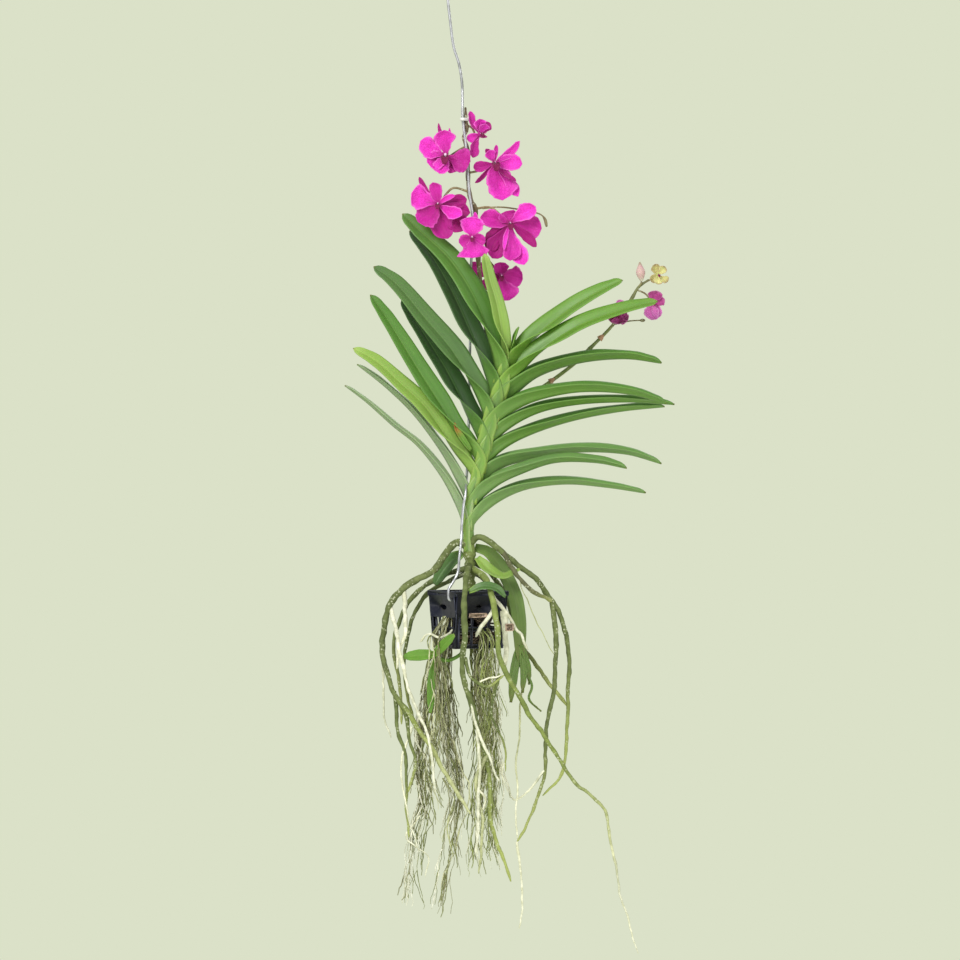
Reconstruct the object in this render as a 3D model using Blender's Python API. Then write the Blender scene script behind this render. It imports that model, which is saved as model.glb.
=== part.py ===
"""A vanda orchid that hangs by a wire in a small slatted basket.

Lengths below are in millimetres and the model is in metres. +Z is up, X runs across the plant and
the plant's front is towards -Y. The origin is the inner top of the wire's hook, so every other
place is below it. The plant measures 600 mm from the tip of its flower spike to its main root tips.
"""

import math
import random
from dataclasses import dataclass

import bmesh
import bpy
from mathutils import Vector

MM = 0.001

# Clearance kept between two pieces that touch on the real plant
GAP = 0.4

# Leafy stem: an oval core that leans to the right as it climbs
STEM_AXIS = [
    (6, 0, -502.6), (7.5, 0, -487), (7, 0, -470), (6, 0, -457), (7.5, 0, -439), (10, 0, -424),
    (13.5, 0, -409), (17.2, 0, -394), (21, 0, -379), (25.5, 0, -362), (30, 0, -347),
    (34.5, 0, -330), (36.4, 0, -321),
]
STEM_HALF_WIDTH = 3.8
STEM_HALF_DEPTH = 2.8
STEM_SIDES = 8

# Strap leaves
LEAF_SEGMENTS = 11
LEAF_THICKNESS = 1.1
LEAF_EDGE_THICKNESS = 0.8
LEAF_BASE_OFFSET = 4.6
LEAF_BASE_FOLD = 33.0
LEAF_BASE_REACH = 0.15
LEAF_OPENING_LENGTH = 0.4
LEAF_TURN_START = 0.14
LEAF_TURN_LENGTH = 0.36
LEAF_PROFILE = [(0.0, 0.78), (0.12, 0.92), (0.3, 1.03), (0.62, 1.0), (0.85, 0.8), (0.95, 0.54), (1.0, 0.3)]
BASAL_SEGMENTS = 7
SHOOT_SEGMENTS = 5
SHOOT_FOLD = 16.0
SHOOT_FACING = (0.2, -1, 0.5)
SHOOT_STALK_RADII = (1.4, 1.6)
BASAL_PROFILE = [(0.0, 0.5), (0.2, 0.85), (0.5, 1.0), (0.8, 0.8), (1.0, 0.3)]

# Petals and sepals
TEPAL_PROFILE = [(0.0, 0.2), (0.3, 0.62), (0.6, 1.0), (0.85, 0.84), (1.0, 0.34)]
SMALL_TEPAL_PROFILE = [(0.0, 0.25), (0.5, 0.95), (0.8, 0.85), (1.0, 0.3)]
TEPAL_THICKNESS = 0.9
TEPAL_BOW = 0.08
TEPAL_BASE_FOLD = 16.0
TEPAL_UNFOLD = 24.0
# Hub rings: place along the facing direction and radius
HUB_RINGS = ((-4.8, 1.1), (-1.8, 2.0), (1.2, 2.6), (3.6, 1.5))
HUB_BACK = 4.8
LIP_FORWARD = 0.8
LIP_DROP = 0.75
LIP_WIDTH = 0.8
STALK_RADIUS = 0.9
STALK_STRAIGHT_END = 2.5
THIN_STALK = 0.75
BUD_STALK_RADIUS = 0.8
BARE_STALK_RINGS = 7

# Hanging basket, a square that turns one corner to the front
BASKET_CENTRE = (6.0, 0.0)
BASKET_TURN = 27.6
BASKET_TOP = -499.0
BASKET_BOTTOM = -542.0
BASKET_TOP_SIDE = 46.0
BASKET_BOTTOM_SIDE = 38.0
BASKET_WALL = 2.2
BASKET_RIM_HEIGHT = 4.0
BASKET_SLAT_HEIGHT = 3.2
BASKET_SLATS = 4
BASKET_BARS = 2
BASKET_BAR_HALF_WIDTH = 1.1
BASKET_POST = 4.4
BASKET_FLOOR_RIB = 2.4
BASKET_FLOOR_THICKNESS = 2.0
BASKET_FLOOR_EDGE = 0.6
# How far crossing bars stay behind each other's faces, so that no two faces lie in one plane
BASKET_STEP = 0.2

# Wire hanger
WIRE_RADIUS = 1.0
WIRE_SIDES = 6
HOOK_RADIUS = 9.0 + WIRE_RADIUS
HOOK_START = -40.0
HOOK_SWEEP = 240.0
HOOK_STEPS = 12
# The hook's collision has to follow its curve, so it is a node of its own above this height
HOOK_FOOT = -30.0
WIRE_RINGS = 54
FOOT_FROM_CORNER = 7.5
FOOT_STEPS = 6
FOOT_RISE = 1.6

# Roots
ROOT_SIDES = 5
FINE_ROOT_SIDES = 3
RANDOM_SEED = 11


@dataclass(frozen=True)
class Finish:
    """Colour and surface of one material."""

    name: str
    colour: tuple
    roughness: float
    metallic: float = 0.0

    def material(self):
        made = bpy.data.materials.get(self.name) or bpy.data.materials.new(self.name)
        made.use_nodes = True
        shader = made.node_tree.nodes["Principled BSDF"]
        shader.inputs["Base Color"].default_value = (*self.colour, 1.0)
        shader.inputs["Roughness"].default_value = self.roughness
        shader.inputs["Metallic"].default_value = self.metallic
        return made


GREEN_LEAF = Finish("leaf_green", (0.11, 0.26, 0.06), 0.45)
YOUNG_LEAF = Finish("young_leaf", (0.22, 0.42, 0.09), 0.45)
OLD_LEAF = Finish("old_leaf", (0.09, 0.19, 0.05), 0.55)
STEM_GREEN = Finish("stem_and_root", (0.24, 0.3, 0.1), 0.6)
ROOT_BROWN = Finish("fine_root", (0.17, 0.15, 0.08), 0.8)
SPIKE_GREEN = Finish("flower_spike", (0.24, 0.24, 0.1), 0.5)
MAGENTA = Finish("magenta_petal", (0.68, 0.04, 0.42), 0.5)
YOUNG_PETAL = Finish("young_petal", (0.6, 0.45, 0.3), 0.5)
BLACK_PLASTIC = Finish("black_plastic", (0.02, 0.022, 0.035), 0.4)
WIRE_STEEL = Finish("galvanised_wire", (0.55, 0.56, 0.56), 0.35, 0.9)
WHITE_PLASTIC = Finish("white_plastic", (0.8, 0.8, 0.78), 0.4)


@dataclass(frozen=True)
class Leaf:
    """One strap leaf: where it leaves the stem, the midrib's route and how its blade is turned."""

    name: str
    side: int
    height: float
    route: tuple
    half_width: float
    fold: float
    roll: float
    finish: Finish = GREEN_LEAF
    offset: float = LEAF_BASE_OFFSET


@dataclass(frozen=True)
class Bloom:
    """One flower: centre, facing direction, and each tepal's tip from the centre with its width."""

    name: str
    centre: tuple
    facing: tuple
    tepals: tuple
    lip: float = 7.0
    scale: float = 1.0
    finish: Finish = MAGENTA


@dataclass(frozen=True)
class Root:
    """One root: its route and its radius at the start and the tip."""

    route: tuple
    start: float
    end: float
    step: float = 16.0


LEAVES = (
    Leaf("leaf_left_1", -1, -340, ((23.4, -2, -316), (12, -3, -282), (-7.2, 2, -251.2), (-31, 6, -228.4),
                                   (-43.5, 8, -216)), 10, 16, 60),
    Leaf("leaf_left_2", -1, -354, ((17.4, 2.4, -330), (7.2, 7.5, -304), (-5, 13, -276.5),
                                   (-20, 16, -249.5), (-38, 18, -228)), 9.4, 16, 56, OLD_LEAF),
    Leaf("leaf_left_3", -1, -371, ((11.2, -3, -349), (-5.2, -6, -320), (-26, -8, -295), (-47, -9, -270),
                                   (-64.5, -9, -256.5)), 9.2, 16, 60),
    Leaf("leaf_left_4", -1, -388, ((5.5, 4, -366.5), (-7.5, 8, -338.5), (-22.5, 9, -313.5),
                                   (-34.5, 10, -295), (-44, 10, -280)), 9, 16, 56, OLD_LEAF),
    Leaf("leaf_left_5", -1, -400, ((-2.4, -2, -382), (-15.2, -4, -359), (-32.8, -6, -330.8),
                                   (-53, -7, -298), (-66.8, -7, -277.5)), 8.4, 18, 58),
    Leaf("leaf_left_6", -1, -412, ((-5.2, -3, -392.5), (-24.5, -5, -363), (-44, -6, -344),
                                   (-62.5, -6, -327.5), (-80, -6, -317.5)), 7.4, 16, 60, YOUNG_LEAF),
    Leaf("leaf_left_7", -1, -432, ((-2.4, 2, -415), (-14, 4, -394), (-34, 5, -367), (-55.5, 5, -346),
                                   (-77, 5, -329)), 6.1, 38, 9),
    Leaf("leaf_left_8", -1, -450, ((-2, -2, -435), (-13.5, -4, -413), (-31, -4, -390.5), (-50, -4, -375),
                                   (-69, -4, -358), (-86, -4, -345)), 5.8, 34, 12),
    Leaf("leaf_top_left", -1, -328, ((31.3, -5, -309), (28, -9, -286.5), (22, -14, -265.5),
                                     (18, -17, -247.5)), 6.2, 18, 62, YOUNG_LEAF),
    Leaf("leaf_top_right", 1, -320.8, ((40.4, 0, -312), (43.6, -1, -301.5)), 3.2, 25, 15, YOUNG_LEAF, 1.2),
    Leaf("leaf_right_1", 1, -334, ((46.5, 1, -322), (57, 2, -308.5), (77, 3, -292), (97.5, 3, -278.5),
                                   (122, 3, -266)), 9, 22, 44, YOUNG_LEAF),
    Leaf("leaf_right_2", 1, -348, ((44.5, -2, -336), (60, -4, -320), (88, -5, -301.5), (120, -5, -289.5),
                                   (148, -5, -282.5)), 9, 24, 42, YOUNG_LEAF),
    Leaf("leaf_right_3", 1, -362, ((42.5, 2, -350), (60, 3, -337), (90, 4, -327.5), (124, 4, -324.5),
                                   (151.5, 4, -328)), 9.6, 48, 12),
    Leaf("leaf_right_4", 1, -376, ((39.5, -3, -364), (60, -5, -355), (90, -7, -349.5), (124, -8, -351),
                                   (154.5, -9, -358.5)), 9.4, 46, 12),
    Leaf("leaf_right_5", 1, -391, ((37.5, 2, -376), (60, 3, -364.5), (90, 3, -358.5), (127.5, 3, -357),
                                   (161, 3, -359)), 7.6, 42, 14),
    Leaf("leaf_right_6", 1, -406, ((34, 4, -391), (56, 8, -380), (86, 10, -370.5), (120, 11, -364),
                                   (154, 11, -360.5)), 8, 42, 12),
    Leaf("leaf_right_7", 1, -421, ((32, 4, -406), (60, 6, -398.5), (90, 7, -394.5), (124, 7, -396),
                                   (151.5, 7, -403.5)), 8.4, 42, 14),
    Leaf("leaf_right_8", 1, -434, ((27, -3, -420), (45, -5, -411), (71, -6, -402.5), (101, -6, -402.5),
                                   (125, -6, -407)), 8.4, 40, 14),
    Leaf("leaf_right_9", 1, -448, ((26.5, 1, -433), (49, 1, -422.5), (79, 1, -418.5), (110, 1, -421),
                                   (139.5, 1, -425.5)), 7.2, 40, 12),
)

BLOOMS = (
    Bloom("bloom_upper_left", (-10.5, -9, -174), (-0.15, -1, 0.1), (
        (-2.5, -1, 19.5, 17), (-20, -3, 9, 16), (-14, -2, -8, 17), (15, -3, 0, 17), (3, -2, -13, 13))),
    Bloom("bloom_top", (15.5, -2, -157), (0.5, -0.8, 0.1), (
        (-4, 2, 16, 9), (3, -3, 11, 13), (10, 1, 7, 8), (7, -5, -3, 9), (-3.5, -1, -16, 9)), 5.0),
    Bloom("bloom_upper_right", (26, -8, -179), (0.2, -1, 0.1), (
        (18, -2, 15, 8), (18, -2, 2, 14), (-1, -3, -24, 18), (10, -4, -25, 18), (-14, 2, 8, 12),
        (-12, 1, -13, 5))),
    Bloom("bloom_left", (-16.5, -10, -210), (-0.1, -1, 0.05), (
        (-14, -2, 19, 6), (-19, -3, 9, 20), (17, -6, -1, 14), (-14, 0, -15, 19), (7, 1, -23, 18),
        (18, 0, 8, 14))),
    Bloom("bloom_middle", (9, -12, -235), (0.0, -1, -0.1), (
        (-0.5, -2, 15, 19), (0.5, -4, -15, 23), (-9.5, 1, -4, 10), (10, 1, -3, 10))),
    Bloom("bloom_right", (37.5, -4, -224), (0.1, -1, 0.0), (
        (-19, -1, 6, 17), (17, -5, 11, 17), (20, 3, -3, 17), (8, -3, -29, 24), (-12, 1, -20, 14),
        (18, 1, -18, 8))),
    Bloom("bloom_lower", (31, 19, -262), (0.1, -1, -0.1), (
        (10, -3, -21, 22), (13, 0, 4, 14), (-22, 1, 3, 14), (-13, 2, -11, 14), (2, 3, 12, 14))),
)

YOUNG_BLOOMS = (
    Bloom("young_bloom_end", (149, 8, -262), (0.3, -0.9, 0.1), (
        (-3, 0, 8, 7), (6, -2, 6, 7), (7, -2, -4, 6), (1, -3, -7, 7), (-4, -1, -4, 6)),
          3.0, 0.55, YOUNG_PETAL),
    Bloom("young_bloom_right", (146, 13, -283), (0.2, -0.9, 0.0), (
        (1, -2, 9, 11), (-2, -3, -11, 13), (6, 0, 3, 7)), 3.0, 0.6),
    Bloom("young_bloom_left", (119, 7, -292), (0.0, -0.9, -0.3), (
        (-6, -1, -3, 8), (6, -1, -4, 8), (0, -3, -6, 10), (1, 1, 10, 8)), 3.0, 0.6),
)

BUD = ((136.5, 9.6, -266.6), (135.8, 8.6, -260), (135.2, 8, -252.5))
BUD_RADII = (1.0, 2.2, 3.2, 3.6, 3.0, 1.6, 0.7)

MAIN_SPIKE = (
    (25.4, 3.9, -366), (26.3, 7.5, -362), (26.6, 11, -356), (25.6, 14.5, -345), (23.6, 17, -328),
    (20.5, 17, -308), (15, 10.5, -265), (12.3, 5, -230),
    (11.5, 2, -213), (8.5, 0.6, -207), (6.8, 0, -200), (6, 0, -190), (6, 0, -172), (4.6, 0, -165),
    (2.6, 0.6, -159), (5, 0.4, -154), (4.5, 0, -148), (4.1, 0, -137),
)
MAIN_SPIKE_RADII = ((0.0, 0.7), (0.03, 0.7), (0.07, 2.0), (1.0, 1.2))
SECOND_SPIKE = (
    (18.8, 3.9, -390), (19.4, 7, -386), (21, 11, -380), (26, 15.5, -373), (37, 17, -362),
    (64, 16, -345), (88, 15, -327), (99, 14.6, -316), (115.5, 14, -299), (129, 13, -280),
    (134, 12, -271.5), (141.8, 10, -265.5),
)
SECOND_SPIKE_RADII = ((0.0, 0.7), (0.05, 0.7), (0.1, 1.8), (1.0, 1.1))
MAIN_SPIKE_RINGS = 38
SECOND_SPIKE_RINGS = 24

# Stalks on the spikes: start on the spike, bend, and the bloom that each one carries
MAIN_STALKS = (
    ((4.6, 0, -166), (-1, 0, -169), "bloom_upper_left"),
    ((4.6, 0.2, -150), (9, 3, -152), "bloom_top"),
    ((6, 0, -186), (15, 0, -184), "bloom_upper_right"),
    ((6.6, 0, -200), (-6, 1, -197.5), "bloom_left"),
    ((11.7, 3, -218), (12.6, -1, -226), "bloom_middle"),
    ((11.5, 2, -212.5), (24, 5, -212), "bloom_right"),
    ((13.2, 7, -246), (17, 18, -246), (24, 26, -253), "bloom_lower"),
)
SECOND_STALKS = (
    ((139, 10.8, -267.6), (144, 10.6, -265), "young_bloom_end"),
    ((133, 12.4, -273), (140, 17, -276), "young_bloom_right"),
    ((116, 14, -298.4), (118, 13, -295), "young_bloom_left"),
)

# Bare stalk ends with a knob
TENDRIL = ((17, 3.4, -212.3), (30, 8, -211), (46, 8, -213), (59, 6, -216), (63.5, 3, -220), (65, 2, -226))
SIDE_STALK = ((116, 14, -299), (128, 12, -296.5), (139, 11, -296))
KNOB_RADIUS = 1.3
BUD_STALK = ((134.4, 11.9, -270.6), (136.2, 10.2, -268.5), (136.6, 9.8, -267.2))

ROOTS = (
    Root(((7, 0, -464), (16, -5, -459), (34, -6, -472), (56, -2, -490), (68, 4, -506), (78, 8, -525),
          (82, 10, -555), (80, 8, -601), (77, 4, -635), (62, 0, -653)), 2.6, 1.3),
    Root(((69, 4, -508), (72, 2, -536), (70, 0, -574), (63, -2, -613), (63, -4, -637), (52, -6, -671),
          (42, -8, -688)), 2.1, 1.2),
    Root(((32, -6, -470), (43, -16, -488), (55, -14, -500), (69, 4, -508)), 1.8, 1.5),
    Root(((8, 2, -476), (24, 16, -488), (37, 27, -512), (46, 30, -540), (62, 24, -562),
          (80.5, 9, -586)), 2.2, 1.6),
    Root(((8, 0, -482), (16, -16, -487), (22, -30, -496), (27, -36, -517), (30, -34, -548), (45, -30, -578),
          (68, -20, -615), (86, -12, -642), (109, -8, -664), (114, -4, -694), (121, 2, -738),
          (134, 6, -772)), 2.3, 0.9),
    Root(((7, 0, -480), (4.5, -20, -487), (4, -33, -497), (4, -37, -520), (2, -36, -557), (11, -30, -592),
          (22, -24, -635), (24, -20, -673), (38, -14, -716)), 2.4, 1.5),
    Root(((6, 0, -466), (-4, -4, -464), (-20, -8, -483), (-39, -8, -496), (-52, -8, -509), (-58, -8, -536),
          (-52, -14, -568), (-34, -24, -596), (-12, -29, -632), (8, -29, -664)), 2.9, 1.4),
    Root(((-49, -15, -574), (-46, -20, -601), (-40, -22, -628), (-40, -21, -664),
          (-38, -20, -683)), 1.6, 1.1),
    Root(((-44, -18, -583), (-38, -24, -604), (-33, -27, -628), (-38, -26, -648)), 1.5, 1.1),
    Root(((6, 2, -482), (-13, 16, -489), (-36, 28, -506), (-50, 28, -536), (-45, 20, -574),
          (-44, 12, -600)), 2.1, 1.3),
    Root(((6, 2, -486), (-8, 22, -492), (-30, 35, -509), (-42, 36, -544), (-39, 32, -581),
          (-30, 27, -619)), 2.0, 1.2),
    Root(((9, 1, -486), (18, 22, -491), (22, 38, -510), (20, 42, -550), (28, 38, -600),
          (20, 33, -650)), 2.0, 1.2),
    Root(((-42, -8, -499), (-41, -17, -527), (-47, -19, -557)), 1.9, 1.2),
    Root(((-52, -8, -511), (-45, -24, -540), (-37, -31, -574), (-22, -34, -611), (-18, -33, -649)), 1.7, 1.0),
    Root(((-57, -8, -530), (-58, 4, -569), (-57, 8, -596), (-52, 8, -610)), 1.2, 0.8),
    Root(((42.6, -8, -687), (46, -6, -716), (46, -4, -735), (44, -4, -752)), 1.2, 0.8),
    Root(((20, -26, -621), (12, -30, -641), (17, -30, -671), (14, -28, -709)), 1.6, 1.0),
    Root(((63, -4, -634), (52, 2, -649), (40, 6, -656), (34, 8, -641)), 1.1, 0.7),
)

# Old leaves round the crown: name, midrib route, half width, fold, direction that the blade faces
BASAL_LEAVES = (
    ("old_leaf_right", ((11.2, 3.7, -467), (22, 5, -471), (33, 5, -486), (41, 4, -505), (44, 3, -524),
                        (45, 2, -545), (47, 2, -562)), 6.2, 18, (0.3, -1, 0.2), GREEN_LEAF),
    ("old_leaf_short", ((12.8, -1.5, -474.5), (22, -7, -484), (33, -8, -489), (45, -8, -483)), 5.4, 22,
     (-0.2, -0.5, 1), YOUNG_LEAF),
    ("old_leaf_left", ((2.1, 2.3, -471), (-6, 5, -477), (-12, 6, -484), (-19, 6, -495)), 6.0, 20,
     (-0.3, -1, 0.4), OLD_LEAF),
)

# Small green shoot that grows out of the basket's floor: stalk, then its three leaves
SHOOT_STALK = ((2.4, -11.5, -540), (1, -12.5, -546), (-10, -17, -551), (-21, -17, -546))
SHOOT_LEAVES = (
    (((-19, -17.2, -546.6), (-13, -26, -540), (-4, -37, -531)), 4.0),
    (((-19, -17, -546.2), (-30, -18, -547), (-42, -20, -548)), 4.6),
    (((-18, -17, -547.2), (-21, -18, -566), (-22, -19, -590)), 3.2),
)

# Root ball: a core of bark and roots inside the basket, and the clusters of fine roots under it
CORE_TOP = -503.2
CORE_BOTTOM = -539.4
CORE_TOP_SIDE = 34.0
CORE_BOTTOM_SIDE = 29.0
# Each cluster: window of the basket's floor, middle line, spread, strands
FINE_CLUSTERS = (
    ((-1, 1), ((-13, 2, -566), (-9, 2, -604), (-3, 0, -645), (-7, 0, -690), (-15, 0, -735)), 8.5, 9),
    ((-1, 1), ((-22, 4, -568), (-29, 4, -626), (-26, 2, -656), (-34, 2, -690), (-39, 0, -731)), 6.0, 7),
    ((1, 1), ((14, 14, -560), (16, 14, -590), (14, 12, -630), (8, 8, -700)), 9.0, 6),
    ((1, -1), ((22, 2, -556), (24, 4, -590), (27, 2, -640), (29, 2, -701)), 7.0, 7),
)
FINE_WINDOW = 8.6
FINE_START_REACH = 4.8
FINE_RADII = (0.85, 1.25)
FINE_TAPER = 0.35
FINE_DRIFT = 5.0
GOLDEN_ANGLE = 2.39996

WIRE_ROUTE = (
    (-9.4, 0, -50), (-7.5, 0, -70.5), (-4.8, 0, -91), (-0.8, -0.6, -104), (1.5, -1.4, -118.5),
    (1.9, -2.4, -134), (2.1, -3, -146), (4.4, -3.6, -166), (6, -3.7, -187.5), (7, -3.7, -201),
    (9, -3.8, -215), (9.6, -2.6, -226), (8.6, 4, -244), (8.2, 12, -264), (8, 18.5, -284),
    (7.6, 19, -310), (7, 18, -340), (6.6, 16, -368), (6.2, 13, -389), (5.6, 9.5, -404),
    (5, 5.2, -414.4), (4.7, 0, -418.4), (4.5, -5, -422), (4.2, -7.6, -427), (2.6, -8.4, -436),
    (1.5, -9, -449), (1, -11.5, -461), (-0.4, -17, -474), (-1.8, -23.5, -486),
)

TIE_HEIGHT = 2.4
TIE_PLACE = -146.0
TIE_WALL = 0.8
TIE_SPIKE_RADIUS = 1.35
TIE_ARC_STEPS = 5


def smooth(points, count):
    """Evenly spaced points on a smooth curve through the given ones."""
    ends = [points[0] * 2 - points[1], *points, points[-1] * 2 - points[-2]]
    fine = []
    for i in range(1, len(ends) - 2):
        a, b, c, d = ends[i - 1:i + 3]
        for k in range(12):
            t = k / 12
            fine.append(0.5 * ((2 * b) + (c - a) * t + (2 * a - 5 * b + 4 * c - d) * t * t
                               + (3 * b - a - 3 * c + d) * t ** 3))
    fine.append(points[-1].copy())
    reach = [0.0]
    for p, q in zip(fine, fine[1:]):
        reach.append(reach[-1] + (q - p).length)
    even = []
    j = 0
    for i in range(count):
        goal = reach[-1] * i / (count - 1)
        while j < len(fine) - 2 and reach[j + 1] < goal:
            j += 1
        span = reach[j + 1] - reach[j]
        even.append(fine[j].lerp(fine[j + 1], (goal - reach[j]) / span if span else 0.0))
    return even


def route_length(points):
    return sum((q - p).length for p, q in zip(points, points[1:]))


def vectors(points):
    return [Vector(p) for p in points]


def profile_at(profile, t):
    """Value of a (place, value) table at t, on straight lines between its rows."""
    for (a, va), (b, vb) in zip(profile, profile[1:]):
        if t <= b:
            return va + (vb - va) * (t - a) / (b - a)
    return profile[-1][1]


def ease(t):
    t = min(max(t, 0.0), 1.0)
    return t * t * (3 - 2 * t)


def tangents(points):
    last = len(points) - 1
    return [(points[min(i + 1, last)] - points[max(i - 1, 0)]).normalized() for i in range(last + 1)]


def make_object(name, verts, faces, finish):
    """A mesh object from points in millimetres, with its faces turned to point out."""
    mesh = bpy.data.meshes.new(name)
    mesh.from_pydata([Vector(v) * MM for v in verts], [], faces)
    bm = bmesh.new()
    bm.from_mesh(mesh)
    bmesh.ops.triangulate(bm, faces=[f for f in bm.faces if len(f.verts) > 4])
    bmesh.ops.recalc_face_normals(bm, faces=bm.faces)
    bm.to_mesh(mesh)
    bm.free()
    mesh.materials.append(finish.material())
    made = bpy.data.objects.new(name, mesh)
    bpy.context.scene.collection.objects.link(made)
    mesh.shade_smooth()
    mesh.set_sharp_from_angle(angle=math.radians(40))
    return made


def tube_mesh(points, radii, sides, squash=1.0):
    """Rings of points along a route, closed by flat ends; squash flattens them in depth."""
    along = tangents(points)
    across = along[0].cross(Vector((0, 1, 0)))
    if across.length < 0.2:
        across = along[0].cross(Vector((1, 0, 0)))
    verts = []
    faces = []
    for i, (p, t, r) in enumerate(zip(points, along, radii)):
        across = (across - t * across.dot(t)).normalized()
        deep = t.cross(across)
        for k in range(sides):
            a = 2 * math.pi * k / sides
            verts.append(p + across * (math.cos(a) * r) + deep * (math.sin(a) * r * squash))
        if i:
            for k in range(sides):
                n = (k + 1) % sides
                low = (i - 1) * sides
                faces.append((low + k, low + n, low + sides + n, low + sides + k))
    faces.append(tuple(reversed(range(sides))))
    faces.append(tuple(range((len(points) - 1) * sides, len(points) * sides)))
    return verts, faces


def tapered_tube(route, start, end, sides, step):
    points = vectors(route)
    count = max(3, round(route_length(points) / step) + 1)
    line = smooth(points, count)
    return tube_mesh(line, [start + (end - start) * i / (count - 1) for i in range(count)], sides)


def join_solids(name, meshes, finish):
    """One solid from several closed meshes, by a Boolean union on a collection."""
    first = make_object(name, *meshes[0], finish)
    others = bpy.data.collections.new(name + "_pieces")
    bpy.context.scene.collection.children.link(others)
    for i, mesh in enumerate(meshes[1:]):
        piece = make_object(f"{name}_piece_{i}", *mesh, finish)
        bpy.context.scene.collection.objects.unlink(piece)
        others.objects.link(piece)
    union = first.modifiers.new("union", "BOOLEAN")
    union.operation = "UNION"
    union.operand_type = "COLLECTION"
    union.solver = "MANIFOLD"
    union.collection = others
    bpy.context.view_layer.update()
    evaluated = first.evaluated_get(bpy.context.evaluated_depsgraph_get())
    joined = bpy.data.meshes.new_from_object(evaluated)
    first.modifiers.clear()
    first.data = joined
    for piece in list(others.objects):
        bpy.data.objects.remove(piece)
    bpy.data.collections.remove(others)
    return first


def stem_axis_at(z):
    """The stem axis's place at a height."""
    for low, high in zip(STEM_AXIS, STEM_AXIS[1:]):
        if z <= high[2]:
            t = (z - low[2]) / (high[2] - low[2])
            return Vector(low).lerp(Vector(high), t)
    low, high = Vector(STEM_AXIS[-2]), Vector(STEM_AXIS[-1])
    return high + (high - low) * ((z - high[2]) / (high[2] - low[2]))


def blade_mesh(line, half_widths, folds, sides_out, ups, thickness=LEAF_THICKNESS, edge=LEAF_EDGE_THICKNESS):
    """A strap folded along its midrib: three points above and three below at each station."""
    verts = []
    faces = []
    last = len(line) - 1
    for i, (p, w, fold, side, up) in enumerate(zip(line, half_widths, folds, sides_out, ups)):
        c, s = math.cos(fold), math.sin(fold)
        left_edge = p - side * (w * c) + up * (w * s)
        right_edge = p + side * (w * c) + up * (w * s)
        left_normal = up * c + side * s
        right_normal = up * c - side * s
        below = p - up * (thickness / max(c, 0.5))
        verts += [left_edge, p, right_edge]
        verts += [left_edge - left_normal * edge, below, right_edge - right_normal * edge]
        if i:
            o = (i - 1) * 6
            for a, b in ((0, 1), (1, 2)):
                faces += [(o + a, o + b, o + b + 6), (o + a, o + b + 6, o + a + 6)]
                faces += [(o + a + 3, o + b + 9, o + b + 3), (o + a + 3, o + a + 9, o + b + 9)]
            faces += [(o, o + 6, o + 9), (o, o + 9, o + 3)]
            faces += [(o + 2, o + 11, o + 8), (o + 2, o + 5, o + 11)]
    faces += [(0, 3, 4), (0, 4, 1), (1, 4, 5), (1, 5, 2)]
    o = last * 6
    faces += [(o, o + 4, o + 3), (o, o + 1, o + 4), (o + 1, o + 5, o + 4), (o + 1, o + 2, o + 5)]
    return verts, faces


def build_leaf(leaf):
    """A strap leaf that clasps the stem and turns its upper face to the front as it arches out."""
    base = stem_axis_at(leaf.height) + Vector((leaf.side * leaf.offset, 0, 0))
    line = smooth([base, *vectors(leaf.route)], LEAF_SEGMENTS + 1)
    widths, folds, outs, ups = [], [], [], []
    for i, t in enumerate(tangents(line)):
        s = i / LEAF_SEGMENTS
        widths.append(leaf.half_width * profile_at(LEAF_PROFILE, s))
        opened = ease((s - LEAF_BASE_REACH) / LEAF_OPENING_LENGTH)
        folds.append(math.radians(LEAF_BASE_FOLD + (leaf.fold - LEAF_BASE_FOLD) * opened))
        deep = Vector((0, 1, 0))
        deep = (deep - t * deep.dot(t)).normalized()
        up = deep.cross(t) * -leaf.side
        turn = math.radians(leaf.roll) * ease((s - LEAF_TURN_START) / LEAF_TURN_LENGTH)
        ups.append(up * math.cos(turn) - deep * math.sin(turn))
        outs.append(deep * math.cos(turn) + up * math.sin(turn))
    return make_object(leaf.name, *blade_mesh(line, widths, folds, outs, ups), leaf.finish)


def facing_blade(route, half_width, fold, facing, segments):
    """A short leaf whose upper side faces a given direction."""
    line = smooth(vectors(route), segments + 1)
    widths = [half_width * profile_at(BASAL_PROFILE, i / segments) for i in range(segments + 1)]
    ups, outs = [], []
    for t in tangents(line):
        up = Vector(facing)
        up = (up - t * up.dot(t)).normalized()
        ups.append(up)
        outs.append(t.cross(up))
    return blade_mesh(line, widths, [math.radians(fold)] * (segments + 1), outs, ups)


def build_basal_leaves():
    for name, route, half_width, fold, facing, finish in BASAL_LEAVES:
        make_object(name, *facing_blade(route, half_width, fold, facing, BASAL_SEGMENTS), finish)


def build_shoot():
    meshes = [tapered_tube(SHOOT_STALK, *SHOOT_STALK_RADII, 6, 6.0)]
    for route, half_width in SHOOT_LEAVES:
        meshes.append(facing_blade(route, half_width, SHOOT_FOLD, SHOOT_FACING, SHOOT_SEGMENTS))
    join_solids("basket_shoot", meshes, YOUNG_LEAF)


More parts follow.
